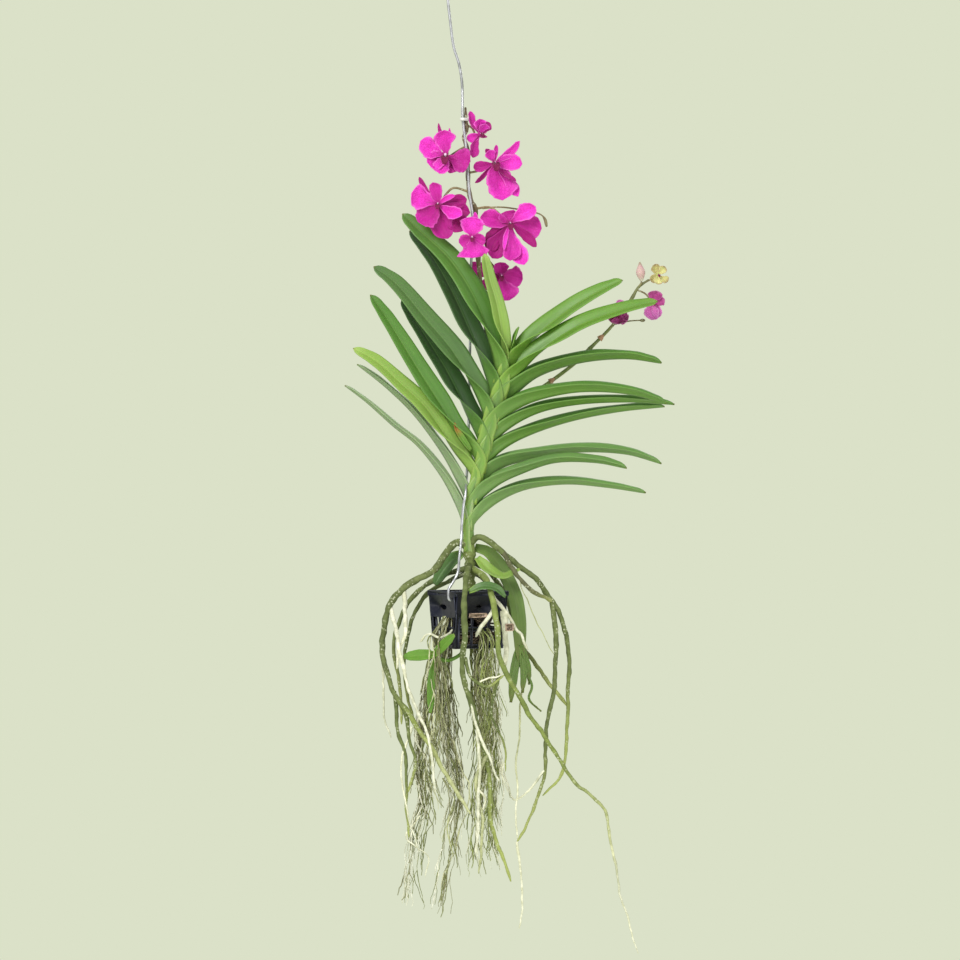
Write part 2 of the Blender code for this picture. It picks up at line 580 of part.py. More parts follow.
def tepal_mesh(centre, facing, tip, width, profile):
    """A petal from the flower's centre: narrow claw, wide rounded blade, a slight cup and a wave."""
    reach = tip.length
    along = tip.normalized()
    face = (facing - along * facing.dot(along)).normalized()
    side = along.cross(face)
    line, widths, folds, outs, ups = [], [], [], [], []
    for s, w in profile:
        bow = math.sin(s * math.pi) * reach * TEPAL_BOW
        line.append(centre + tip * s - face * bow)
        widths.append(width * 0.5 * w)
        folds.append(math.radians(TEPAL_BASE_FOLD - TEPAL_UNFOLD * s))
        outs.append(side)
        ups.append(face)
    return blade_mesh(line, widths, folds, outs, ups, TEPAL_THICKNESS, TEPAL_THICKNESS)


def bloom_meshes(bloom):
    """The parts of one flower: hub, column, lip and tepals."""
    centre = Vector(bloom.centre)
    facing = Vector(bloom.facing).normalized()
    k = bloom.scale
    hub = [centre + facing * (place * k) for place, _ in HUB_RINGS]
    meshes = [tube_mesh(hub, [radius * k for _, radius in HUB_RINGS], 6)]
    profile = TEPAL_PROFILE if k == 1.0 else SMALL_TEPAL_PROFILE
    lip_tip = facing * (bloom.lip * LIP_FORWARD) + Vector((0, 0, -bloom.lip * LIP_DROP))
    lip_face = (facing * 0.6 + Vector((0, 0, 0.8))).normalized()
    meshes.append(tepal_mesh(centre, lip_face, lip_tip, bloom.lip * LIP_WIDTH, SMALL_TEPAL_PROFILE))
    for x, y, z, width in bloom.tepals:
        meshes.append(tepal_mesh(centre - facing * (0.4 * k), facing, Vector((x, y, z)), width, profile))
    return meshes


def stalk_end(bloom):
    """Where a stalk meets the back of a flower, just clear of it."""
    facing = Vector(bloom.facing).normalized()
    return Vector(bloom.centre) - facing * (HUB_BACK * bloom.scale + GAP)


def build_blooms():
    for bloom in BLOOMS + YOUNG_BLOOMS:
        join_solids(bloom.name, bloom_meshes(bloom), bloom.finish)
    line = smooth(vectors(BUD), len(BUD_RADII))
    make_object("young_bud", *tube_mesh(line, BUD_RADII, 8), YOUNG_PETAL)


def stalk_meshes(stalks, radius):
    """One bent stalk for each bloom, sunk into the spike and ending just behind the flower."""
    blooms = {b.name: b for b in BLOOMS + YOUNG_BLOOMS}
    meshes = []
    for *route, name in stalks:
        end = stalk_end(blooms[name])
        back = end - Vector(blooms[name].facing).normalized() * (STALK_STRAIGHT_END * blooms[name].scale)
        line = smooth([*vectors(route), back], 3 + len(route)) + [end]
        meshes.append(tube_mesh(line, [radius] * len(line), 4))
    return meshes


def bare_stalk(route, radius):
    """A stalk that has lost its flower, with a small knob at its end."""
    line = smooth(vectors(route), BARE_STALK_RINGS)
    radii = [radius] * (BARE_STALK_RINGS - 2) + [KNOB_RADIUS, KNOB_RADIUS * 0.7]
    return tube_mesh(line, radii, 5)


def spike_mesh(route, radii, rings):
    """A flower spike: a thin foot between the leaf bases, then the full stalk."""
    line = smooth(vectors(route), rings)
    return tube_mesh(line, [profile_at(radii, i / (rings - 1)) for i in range(rings)], 6)


def build_spikes():
    meshes = [spike_mesh(MAIN_SPIKE, MAIN_SPIKE_RADII, MAIN_SPIKE_RINGS)]
    meshes += stalk_meshes(MAIN_STALKS, STALK_RADIUS)
    meshes.append(bare_stalk(TENDRIL, STALK_RADIUS * THIN_STALK))
    join_solids("main_spike", meshes, SPIKE_GREEN)
    meshes = [spike_mesh(SECOND_SPIKE, SECOND_SPIKE_RADII, SECOND_SPIKE_RINGS)]
    meshes += stalk_meshes(SECOND_STALKS, STALK_RADIUS * THIN_STALK)
    meshes.append(bare_stalk(SIDE_STALK, STALK_RADIUS * THIN_STALK))
    meshes.append(tapered_tube(BUD_STALK, BUD_STALK_RADIUS, BUD_STALK_RADIUS, 5, 3.0))
    join_solids("second_spike", meshes, SPIKE_GREEN)


def stem_mesh():
    """The oval core, blunt at the top and at the foot."""
    line = vectors(STEM_AXIS)
    radii = [STEM_HALF_WIDTH] * len(line)
    radii[-1] = STEM_HALF_WIDTH * 0.55
    return tube_mesh(line, radii, STEM_SIDES, STEM_HALF_DEPTH / STEM_HALF_WIDTH)


def build_stem_and_roots():
    meshes = [stem_mesh()]
    meshes += [tapered_tube(r.route, r.start, r.end, ROOT_SIDES, r.step) for r in ROOTS]
    join_solids("stem_and_roots", meshes, STEM_GREEN)


def basket_axes():
    """The two directions along the basket's sides, from its front corner to the right and left."""
    turn = math.radians(BASKET_TURN)
    return Vector((math.cos(turn), math.sin(turn), 0)), Vector((-math.sin(turn), math.cos(turn), 0))


def basket_side(z):
    """Outer side of the tapered basket at a height."""
    t = (z - BASKET_BOTTOM) / (BASKET_TOP - BASKET_BOTTOM)
    return BASKET_BOTTOM_SIDE + (BASKET_TOP_SIDE - BASKET_BOTTOM_SIDE) * t


def basket_point(a, b, z):
    """A point of the basket at a and b along its sides from the centre."""
    right, left = basket_axes()
    return Vector((*BASKET_CENTRE, z)) + right * a + left * b


def block_mesh(low_corners, high_corners):
    verts = [*low_corners, *high_corners]
    faces = [(3, 2, 1, 0), (4, 5, 6, 7), (0, 1, 5, 4), (1, 2, 6, 5), (2, 3, 7, 6), (3, 0, 4, 7)]
    return verts, faces


def wall_block(wall, start, end, low, high, depth=BASKET_WALL):
    """A block of one wall between two places along it (0 to 1) and two heights."""
    rings = []
    for z in (low, high):
        half = basket_side(z) / 2
        corners = []
        for along, inset in ((start, 0), (end, 0), (end, depth), (start, depth)):
            a = -half + 2 * half * along
            b = -half + inset
            for _ in range(wall):
                a, b = -b, a
            corners.append(basket_point(a, b, z))
        rings.append(corners)
    return block_mesh(*rings)


def build_basket():
    """Rim, slats, bars and posts round four walls, and a floor with four windows."""
    meshes = []
    post = BASKET_POST / BASKET_TOP_SIDE
    step = (BASKET_TOP - BASKET_BOTTOM - BASKET_RIM_HEIGHT) / (BASKET_SLATS - 1)
    for wall in range(4):
        meshes.append(wall_block(wall, 0, 1, BASKET_TOP - BASKET_RIM_HEIGHT, BASKET_TOP))
        for i in range(BASKET_SLATS - 1):
            low = BASKET_BOTTOM + step * i
            depth = BASKET_WALL - BASKET_STEP / 2
            meshes.append(wall_block(wall, 0, 1, low, low + BASKET_SLAT_HEIGHT, depth))
        meshes.append(wall_block(wall, 0, post, BASKET_BOTTOM, BASKET_TOP, BASKET_POST))
        for i in range(BASKET_BARS):
            middle = (i + 1) / (BASKET_BARS + 1)
            width = BASKET_BAR_HALF_WIDTH / BASKET_TOP_SIDE
            meshes.append(wall_block(wall, middle - width, middle + width, BASKET_BOTTOM + BASKET_STEP,
                                     BASKET_TOP - BASKET_STEP, BASKET_WALL - BASKET_STEP))
    half = BASKET_BOTTOM_SIDE / 2 - BASKET_FLOOR_EDGE
    rib = BASKET_FLOOR_RIB / 2
    low = BASKET_BOTTOM + BASKET_STEP / 2
    for across in (False, True):
        ring = []
        for z in (low, low + BASKET_FLOOR_THICKNESS):
            corners = [(-half, -rib), (half, -rib), (half, rib), (-half, rib)]
            ring.append([basket_point(*((-b, a) if across else (a, b)), z) for a, b in corners])
        meshes.append(block_mesh(*ring))
    join_solids("basket", meshes, BLACK_PLASTIC)


def core_mesh():
    rings = []
    for z, side in ((CORE_BOTTOM, CORE_BOTTOM_SIDE), (CORE_TOP, CORE_TOP_SIDE)):
        half = side / 2
        rings.append([basket_point(a * half, b * half, z) for a, b in ((-1, -1), (1, -1), (1, 1), (-1, 1))])
    return block_mesh(*rings)


def fine_root(cluster, index, rng):
    """One strand of a cluster: down through its window, then along the middle line at its own offset."""
    window, middle, spread, strands = cluster
    reach = math.sqrt((index + 0.5) / strands)
    angle = GOLDEN_ANGLE * index
    a = window[0] * FINE_WINDOW + math.cos(angle) * reach * FINE_START_REACH
    b = window[1] * FINE_WINDOW + math.sin(angle) * reach * FINE_START_REACH
    route = [basket_point(a, b, CORE_BOTTOM + 3), basket_point(a, b, BASKET_BOTTOM - 4)]
    keep = len(middle) - index % 3
    right, left = basket_axes()
    offset = (right * math.cos(angle) + left * math.sin(angle)) * (reach * spread)
    for p in middle[:keep]:
        drift = Vector((0, 0, rng.uniform(-FINE_DRIFT, FINE_DRIFT)))
        route.append(Vector(p) + offset * rng.uniform(0.75, 1.25) + drift)
    count = 2 + 2 * keep
    radius = rng.uniform(*FINE_RADII)
    radii = [radius * (1 - FINE_TAPER * k / count) for k in range(count)]
    return tube_mesh(smooth(route, count), radii, FINE_ROOT_SIDES)


def build_root_ball():
    """Core in the basket, with clusters of fine roots that leave through the floor's windows."""
    rng = random.Random(RANDOM_SEED)
    meshes = [core_mesh()]
    for cluster in FINE_CLUSTERS:
        meshes += [fine_root(cluster, i, rng) for i in range(cluster[3])]
    join_solids("root_ball", meshes, ROOT_BROWN)


def hook_points():
    """The open hook at the wire's top: from its free tip over the top and down to the straight wire."""
    centre = Vector((0, 0, -HOOK_RADIUS + WIRE_RADIUS))
    points = []
    for i in range(HOOK_STEPS + 1):
        a = math.radians(HOOK_START + HOOK_SWEEP * i / HOOK_STEPS)
        points.append(centre + Vector((math.cos(a), 0, math.sin(a))) * HOOK_RADIUS)
    return points


def foot_points():
    """The wire's foot, bent under the basket's rim from the outside."""
    right, left = basket_axes()
    half = BASKET_TOP_SIDE / 2
    face = basket_point(-half, -half + FOOT_FROM_CORNER, 0)
    under = BASKET_TOP - BASKET_RIM_HEIGHT - GAP
    radius = BASKET_WALL / 2 + GAP + WIRE_RADIUS
    middle = face + right * (BASKET_WALL / 2)
    points = [middle - right * radius + Vector((0, 0, BASKET_TOP + FOOT_RISE))]
    for i in range(FOOT_STEPS + 1):
        a = math.pi * i / FOOT_STEPS
        points.append(middle - right * (radius * math.cos(a)) + Vector((0, 0, under - radius * math.sin(a))))
    points.append(middle + right * radius + Vector((0, 0, under + GAP + FOOT_RISE)))
    return points


def build_wire():
    """The hanger: hook, long wire past the plant, and foot under the rim."""
    upper = smooth([hook_points()[-1], *vectors(WIRE_ROUTE), foot_points()[0]], WIRE_RINGS)
    below = next(i for i, p in enumerate(upper) if p.z < HOOK_FOOT)
    hook = hook_points()[:-1] + upper[:below + 1]
    heading = (upper[below + 1] - upper[below]).normalized()
    wire = [upper[below] + heading * GAP] + upper[below + 1:] + foot_points()[1:]
    for name, line in (("wire_hook", hook), ("hanger_wire", wire)):
        make_object(name, *tube_mesh(line, [WIRE_RADIUS] * len(line), WIRE_SIDES), WIRE_STEEL)


def point_at_height(route, z):
    """The place where a smooth curve through a route passes a height."""
    return min(smooth(vectors(route), 600), key=lambda p: abs(p.z - z))


def build_tie():
    """The small clip that holds the flower spike to the wire."""
    wire = point_at_height(WIRE_ROUTE, TIE_PLACE)
    spike = point_at_height(MAIN_SPIKE, TIE_PLACE)
    link = (spike - wire) * Vector((1, 1, 0))
    along = link.normalized()
    side = Vector((-along.y, along.x, 0))
    outlines = []
    for wall in (0.0, TIE_WALL):
        outline = []
        for centre, radius, start in ((spike, TIE_SPIKE_RADIUS, -90), (wire, WIRE_RADIUS, 90)):
            reach = radius + GAP + wall
            for i in range(TIE_ARC_STEPS + 1):
                a = math.radians(start + 180 * i / TIE_ARC_STEPS)
                place = along * (math.cos(a) * reach) + side * (math.sin(a) * reach)
                outline.append(Vector((centre.x, centre.y, 0)) + place)
        outlines.append(outline)
    verts = []
    for z in (TIE_PLACE - TIE_HEIGHT / 2, TIE_PLACE + TIE_HEIGHT / 2):
        for outline in outlines:
            verts += [p + Vector((0, 0, z)) for p in outline]
    faces = []
    count = len(outlines[0])
    for k in range(count):
        n = (k + 1) % count
        inner, outer, inner_top, outer_top = 0, count, 2 * count, 3 * count
        faces.append((inner + k, inner + n, outer + n, outer + k))
        faces.append((inner_top + k, outer_top + k, outer_top + n, inner_top + n))
        faces.append((outer + k, outer + n, outer_top + n, outer_top + k))
        faces.append((inner + k, inner_top + k, inner_top + n, inner + n))
    make_object("spike_tie", verts, faces, WHITE_PLASTIC)


def main():
    for old in list(bpy.data.objects):
        bpy.data.objects.remove(old)
    build_stem_and_roots()
    for leaf in LEAVES:
        build_leaf(leaf)
    build_basal_leaves()
    build_shoot()
    build_blooms()
    build_spikes()
    build_basket()
    build_root_ball()
    build_wire()
    build_tie()


main()
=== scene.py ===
"""Looks of a hanging vanda orchid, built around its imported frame.

Lengths are in millimetres until a mesh is made, and the frame is in metres. +Z is up, X runs across
the leaf fan and the front is towards -Y. The origin is the inner top of the wire's hook. Every piece
rides on the frame's one body and stands for the CAD node that has its place.
"""

import logging
import math
import random
from collections.abc import Callable
from dataclasses import dataclass, field
from enum import Enum

import bpy
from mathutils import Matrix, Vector, noise

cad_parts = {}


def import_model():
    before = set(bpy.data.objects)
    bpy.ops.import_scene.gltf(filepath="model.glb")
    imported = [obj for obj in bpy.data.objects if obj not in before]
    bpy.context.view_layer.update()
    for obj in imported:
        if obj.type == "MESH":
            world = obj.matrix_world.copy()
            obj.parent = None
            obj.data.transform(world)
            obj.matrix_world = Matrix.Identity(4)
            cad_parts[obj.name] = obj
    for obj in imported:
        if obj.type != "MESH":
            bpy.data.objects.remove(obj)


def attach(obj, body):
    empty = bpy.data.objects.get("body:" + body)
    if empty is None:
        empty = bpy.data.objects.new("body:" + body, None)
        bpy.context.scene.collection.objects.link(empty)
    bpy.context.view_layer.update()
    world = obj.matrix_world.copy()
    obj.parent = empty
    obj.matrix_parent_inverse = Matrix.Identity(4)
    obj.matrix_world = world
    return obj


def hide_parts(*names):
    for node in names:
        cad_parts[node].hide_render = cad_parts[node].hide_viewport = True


LOG = logging.getLogger("vanda")

MM = 0.001
UP = Vector((0, 0, 1))
# Blender's vector noise starts from the clock unless it is given a seed
NOISE_SEED = 7
# Points that a smooth curve gets between two points of its route
CURVE_STEPS = 12
# Length of a tube's pointed end, as a share of its radius
POINTED_END = 0.6
GOLDEN_ANGLE = 2.39996

# The camera's frame: side of the square field at the plant, in metres, and its middle
FIELD = 0.72
FIELD_CENTRE = (0.015, 0.0, -0.41625)
CAMERA_DISTANCE = 3.0
SENSOR = 36.0

# Leafy stem, the same axis as the frame's solid
STEM_AXIS = (
    (6, 0, -502.6), (7.5, 0, -487), (7, 0, -470), (6, 0, -457), (7.5, 0, -439), (10, 0, -424),
    (13.5, 0, -409), (17.2, 0, -394), (21, 0, -379), (25.5, 0, -362), (30, 0, -347),
    (34.5, 0, -330), (36.4, 0, -321),
)


def vectors(points: tuple) -> list[Vector]:
    """Vectors from plain triples."""
    return [Vector(p) for p in points]


def ease(t: float) -> float:
    """Smooth step from 0 to 1."""
    t = min(max(t, 0.0), 1.0)
    return t * t * (3 - 2 * t)


def mix(a: float, b: float, t: float) -> float:
    """Value between a and b."""
    return a + (b - a) * t


def profile_at(profile: tuple, t: float) -> float:
    """Reads a profile with eased steps between its rows.

    Args:
        profile: Rows of (place, value), in rising order of place.
        t: Place to read.

    Returns:
        The value at t.
    """
    for (a, low), (b, high) in zip(profile, profile[1:]):
        if t <= b:
            share = (t - a) / (b - a)
            return mix(low, high, mix(share, ease(share), 0.5))
    return profile[-1][1]


def smooth(points: list[Vector], count: int) -> list[Vector]:
    """Evenly spaced points on a smooth curve.

    Args:
        points: The route that the curve passes through.
        count: How many points to return.

    Returns:
        Points at equal steps along the curve.
    """
    ends = [points[0] * 2 - points[1], *points, points[-1] * 2 - points[-2]]
    fine = []
    for i in range(1, len(ends) - 2):
        a, b, c, d = ends[i - 1:i + 3]
        for k in range(CURVE_STEPS):
            t = k / CURVE_STEPS
            fine.append(0.5 * ((2 * b) + (c - a) * t + (2 * a - 5 * b + 4 * c - d) * t * t
                               + (3 * b - a - 3 * c + d) * t ** 3))
    fine.append(points[-1].copy())
    reach = [0.0]
    for p, q in zip(fine, fine[1:]):
        reach.append(reach[-1] + (q - p).length)
    even = []
    j = 0
    for i in range(count):
        goal = reach[-1] * i / (count - 1)
        while j < len(fine) - 2 and reach[j + 1] < goal:
            j += 1
        span = reach[j + 1] - reach[j]
        even.append(fine[j].lerp(fine[j + 1], (goal - reach[j]) / span if span else 0.0))
    return even


def route_length(points: list[Vector]) -> float:
    """Length of a route in straight steps."""
    return sum((q - p).length for p, q in zip(points, points[1:]))


def tangents(points: list[Vector]) -> list[Vector]:
    """Unit direction of a line at each of its points."""
    last = len(points) - 1
    return [(points[min(i + 1, last)] - points[max(i - 1, 0)]).normalized() for i in range(last + 1)]


def stem_axis_at(z: float) -> Vector:
    """The stem axis's place at a height."""
    for low, high in zip(STEM_AXIS, STEM_AXIS[1:]):
        if z <= high[2]:
            return Vector(low).lerp(Vector(high), (z - low[2]) / (high[2] - low[2]))
    low, high = Vector(STEM_AXIS[-2]), Vector(STEM_AXIS[-1])
    return high + (high - low) * ((z - high[2]) / (high[2] - low[2]))


def drift(place: float, seed: float, reach: float) -> Vector:
    """Smooth wandering offset that depends on a place along a line and a seed."""
    return noise.noise_vector(Vector((place, seed * 7.31, seed * 3.17))) * reach


@dataclass
class Growth:
    """A surface in the making: points in millimetres and the values that each point carries.

    grain holds for each point its share of the way along the part (0 to 1), its place across
    (-1 to 1) and the part's own tone (0 to 1). under is 1 on the lower side of a blade.
    """

    points: list = field(default_factory=list)
    faces: list = field(default_factory=list)
    grain: list = field(default_factory=list)
    under: list = field(default_factory=list)
    finish: list = field(default_factory=list)

    def put(self, point: Vector, grain: tuple, under: float = 0.0) -> None:
        """Adds one point with the values that it carries."""
        self.points.append(point)
        self.grain.append(grain)
        self.under.append(under)

    def add(self, other: "Growth", finish: int = 0) -> "Growth":
        """Takes in another part.

        Args:
            other: The part to take in.
            finish: Which of the piece's materials its faces wear.

        Returns:
            This surface.
        """
        start = len(self.points)
        self.points += other.points
        self.faces += [tuple(start + k for k in f) for f in other.faces]
        self.grain += other.grain
        self.under += other.under
        self.finish += [finish] * len(other.faces)
        return self


def tube(line: list[Vector], radii: list[float], sides: int, tone: float = 0.5,
         span: tuple = (0.0, 1.0), squash: float = 1.0) -> Growth:
    """A closed round tube along a line.

    Args:
        line: Centres of the rings.
        radii: Radius of each ring.
        sides: Points in a ring.
        tone: Tone that the part carries.
        span: Share of the way along at the first and the last ring.
        squash: Depth of a ring as a share of its width.

    Returns:
        The tube, with pointed ends.
    """
    made = Growth()
    along = tangents(line)
    across = along[0].cross(Vector((0, 1, 0)))
    if across.length < 0.2:
        across = along[0].cross(Vector((1, 0, 0)))
    last = len(line) - 1
    for i, (p, t, r) in enumerate(zip(line, along, radii)):
        across = (across - t * across.dot(t)).normalized()
        deep = t.cross(across)
        share = mix(span[0], span[1], i / last)
        for k in range(sides):
            a = 2 * math.pi * k / sides
            made.put(p + across * (math.cos(a) * r) + deep * (math.sin(a) * r * squash),
                     (share, math.cos(a), tone))
        if i:
            low = (i - 1) * sides
            for k in range(sides):
                n = (k + 1) % sides
                made.faces.append((low + k, low + n, low + sides + n, low + sides + k))
    for end, ring, push in ((0, 0, -1), (last, last * sides, 1)):
        tip = len(made.points)
        made.put(line[end] + along[end] * (radii[end] * POINTED_END * push),
                 (span[0] if end == 0 else span[1], 0.0, tone))
        for k in range(sides):
            n = (k + 1) % sides
            pair = (ring + n, ring + k) if end == 0 else (ring + k, ring + n)
            made.faces.append((*pair, tip))
    return made


def same_thickness(thickness: float) -> Callable[[float, float], float]:
    """The same thickness all over a blade."""
    return lambda s, q: thickness


def slab(top: list[list[Vector]], thickness: Callable[[float, float], float], tone: float = 0.5,
         span: tuple = (0.0, 1.0)) -> Growth:
    """A thin closed blade below a grid of points.

    Args:
        top: Rows of points of the upper face, each row from one edge to the other.
        thickness: Gives the thickness at a share of the way along and a place across.
        tone: Tone that the part carries.
        span: Share of the way along at the first and the last row.

    Returns:
        The blade with both faces and its rim.
    """
    made = Growth()
    rows, cols = len(top), len(top[0])
    normals = []
    for i in range(rows):
        for j in range(cols):
            forward = top[min(i + 1, rows - 1)][j] - top[max(i - 1, 0)][j]
            side = top[i][min(j + 1, cols - 1)] - top[i][max(j - 1, 0)]
            normals.append(forward.cross(side).normalized())
    for lower in (False, True):
        for i in range(rows):
            s = i / (rows - 1)
            for j in range(cols):
                q = 2 * j / (cols - 1) - 1
                p = top[i][j]
                if lower:
                    p = p + normals[i * cols + j] * thickness(s, q)
                made.put(p, (mix(span[0], span[1], s), q, tone), float(lower))
    below = rows * cols
    for i in range(rows - 1):
        for j in range(cols - 1):
            a = i * cols + j
            b, c, d = a + 1, a + cols + 1, a + cols
            made.faces.append((a, b, c, d))
            made.faces.append((below + a, below + d, below + c, below + b))
        left, right = i * cols, i * cols + cols - 1
        made.faces.append((left, left + cols, below + left + cols, below + left))
        made.faces.append((right, below + right, below + right + cols, right + cols))
    end = (rows - 1) * cols
    for j in range(cols - 1):
        made.faces.append((j, below + j, below + j + 1, j + 1))
        made.faces.append((end + j, end + j + 1, below + end + j + 1, below + end + j))
    return made


def block(centre: Vector, axes: tuple, sizes: tuple, bevel: float, tone: float = 0.5) -> Growth:
    """A bar with chamfered edges.

    Args:
        centre: Middle of the bar.
        axes: Its three unit directions.
        sizes: Its length along each of them.
        bevel: Width of the chamfers.
        tone: Tone that the part carries.

    Returns:
        The bar: six faces, twelve chamfers and eight corners.
    """
    made = Growth()
    half = [s / 2 for s in sizes]
    index = {}
    for corner in range(8):
        signs = [1 if corner >> k & 1 else -1 for k in range(3)]
        for face in range(3):
            p = centre.copy()
            for k in range(3):
                inset = 0.0 if k == face else bevel
                p += axes[k] * (signs[k] * (half[k] - inset))
            index[corner, face] = len(made.points)
            made.put(p, ((signs[0] + 1) / 2, float(signs[1]), tone))
    for face in range(3):
        u, v = (face + 1) % 3, (face + 2) % 3
        for side in (0, 1):
            base = side << face
            loop = (base, base | 1 << u, base | 1 << u | 1 << v, base | 1 << v)
            corners = [index[c, face] for c in loop]
            made.faces.append(tuple(corners if side else corners[::-1]))
    for edge in range(3):
        u, v = (edge + 1) % 3, (edge + 2) % 3
        for su in (0, 1):
            for sv in (0, 1):
                low = su << u | sv << v
                high = low | 1 << edge
                loop = [index[low, u], index[high, u], index[high, v], index[low, v]]
                made.faces.append(tuple(loop if su == sv else loop[::-1]))
    for corner in range(8):
        loop = [index[corner, k] for k in range(3)]
        odd = bin(corner).count("1") % 2
        made.faces.append(tuple(loop if odd else loop[::-1]))
    return made


def place_object(name: str, data: bpy.types.ID) -> bpy.types.Object:
    """A new object of the scene, at the origin."""
    made = bpy.data.objects.new(name, data)
    bpy.context.scene.collection.objects.link(made)
    return made


def make_piece(name: str, growth: Growth, materials: list, nodes: tuple) -> None:
    """Turns a surface into an object of the scene that rides on the frame.

    Args:
        name: The piece's name.
        growth: Its surface.
        materials: Materials in the order of the surface's finish numbers.
        nodes: CAD nodes that the piece stands for.
    """
    mesh = bpy.data.meshes.new(name)
    mesh.from_pydata([p * MM for p in growth.points], [], growth.faces)
    grain = mesh.attributes.new("grain", "FLOAT_VECTOR", "POINT")
    grain.data.foreach_set("vector", [v for row in growth.grain for v in row])
    under = mesh.attributes.new("under", "FLOAT", "POINT")
    under.data.foreach_set("value", growth.under)
    for material in materials:
        mesh.materials.append(material)
    if growth.finish:
        mesh.polygons.foreach_set("material_index", growth.finish)
    mesh.shade_smooth()
    mesh.update()
    made = place_object(name, mesh)
    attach(made, "root")
    if nodes:
        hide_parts(*nodes)
    LOG.info("%s: %d triangles", name, sum(len(f) - 2 for f in growth.faces))


class NodeTree:
    """Short ways to add nodes and links to a material or a node group."""

    def __init__(self, tree: bpy.types.NodeTree) -> None:
        """Wraps a tree."""
        self.tree = tree

    def new(self, kind: str, **settings: object) -> bpy.types.Node:
        """Adds a node and sets its properties."""
        made = self.tree.nodes.new(kind)
        for key, value in settings.items():
            setattr(made, key, value)
        return made

    def link(self, source: bpy.types.NodeSocket, target: bpy.types.NodeSocket) -> None:
        """Joins two sockets."""
        self.tree.links.new(source, target)

    def feed(self, value: object, target: bpy.types.NodeSocket) -> None:
        """Links a socket or sets a plain value."""
        if isinstance(value, bpy.types.NodeSocket):
            self.link(value, target)
        else:
            target.default_value = value

    def math(self, operation: str, a: object, b: object = 0.0) -> bpy.types.NodeSocket:
        """A Math node on two values."""
        made = self.new("ShaderNodeMath", operation=operation)
        self.feed(a, made.inputs[0])
        self.feed(b, made.inputs[1])
        return made.outputs[0]

    def times(self, a: object, b: object) -> bpy.types.NodeSocket:
        """The product of two values."""
        return self.math("MULTIPLY", a, b)

    def ramp(self, value: object, low: object, high: object, to_low: float = 0.0,
             to_high: float = 1.0) -> bpy.types.NodeSocket:
        """A clamped Map Range node with smooth steps."""
        made = self.new("ShaderNodeMapRange", interpolation_type="SMOOTHSTEP")
        self.feed(value, made.inputs["Value"])
        for key, number in (("From Min", low), ("From Max", high), ("To Min", to_low), ("To Max", to_high)):
            self.feed(number, made.inputs[key])
        return made.outputs["Result"]

    def blend(self, share: object, a: object, b: object, kind: str = "MIX") -> bpy.types.NodeSocket:
        """A colour Mix node."""
        made = self.new("ShaderNodeMix", data_type="RGBA", blend_type=kind)
        self.feed(share, made.inputs[0])
        self.feed(a, made.inputs[6])
        self.feed(b, made.inputs[7])
        return made.outputs[2]

    def cover(self, mask: object, share: float, colour: object, over: object) -> bpy.types.NodeSocket:
        """Lays one colour over another where a mask says, at a share of its strength."""
        return self.blend(self.times(mask, share), colour, over)

    def tint(self, colour: object, by: tuple) -> bpy.types.NodeSocket:
        """A colour multiplied by a tint."""
        return self.blend(1.0, colour, (*by, 1.0), "MULTIPLY")

    def noise(self, vector: object, scale: object, detail: float = 3.0) -> bpy.types.NodeSocket:
        """A Noise Texture's value."""
        made = self.new("ShaderNodeTexNoise")
        for key, value in (("Vector", vector), ("Scale", scale), ("Detail", detail)):
            self.feed(value, made.inputs[key])
        return made.outputs["Fac"]

    def vector(self, x: object, y: object, z: object) -> bpy.types.NodeSocket:
        """A Combine XYZ node."""
        made = self.new("ShaderNodeCombineXYZ")
        for value, socket in zip((x, y, z), made.inputs):
            self.feed(value, socket)
        return made.outputs[0]


class GroupKind(Enum):
    """The effects that several materials share."""

    GRAIN = "grain_values"
    STREAKS = "lengthwise_streaks"
    MOTTLE = "soft_mottle"
    SPECKS = "dry_specks"


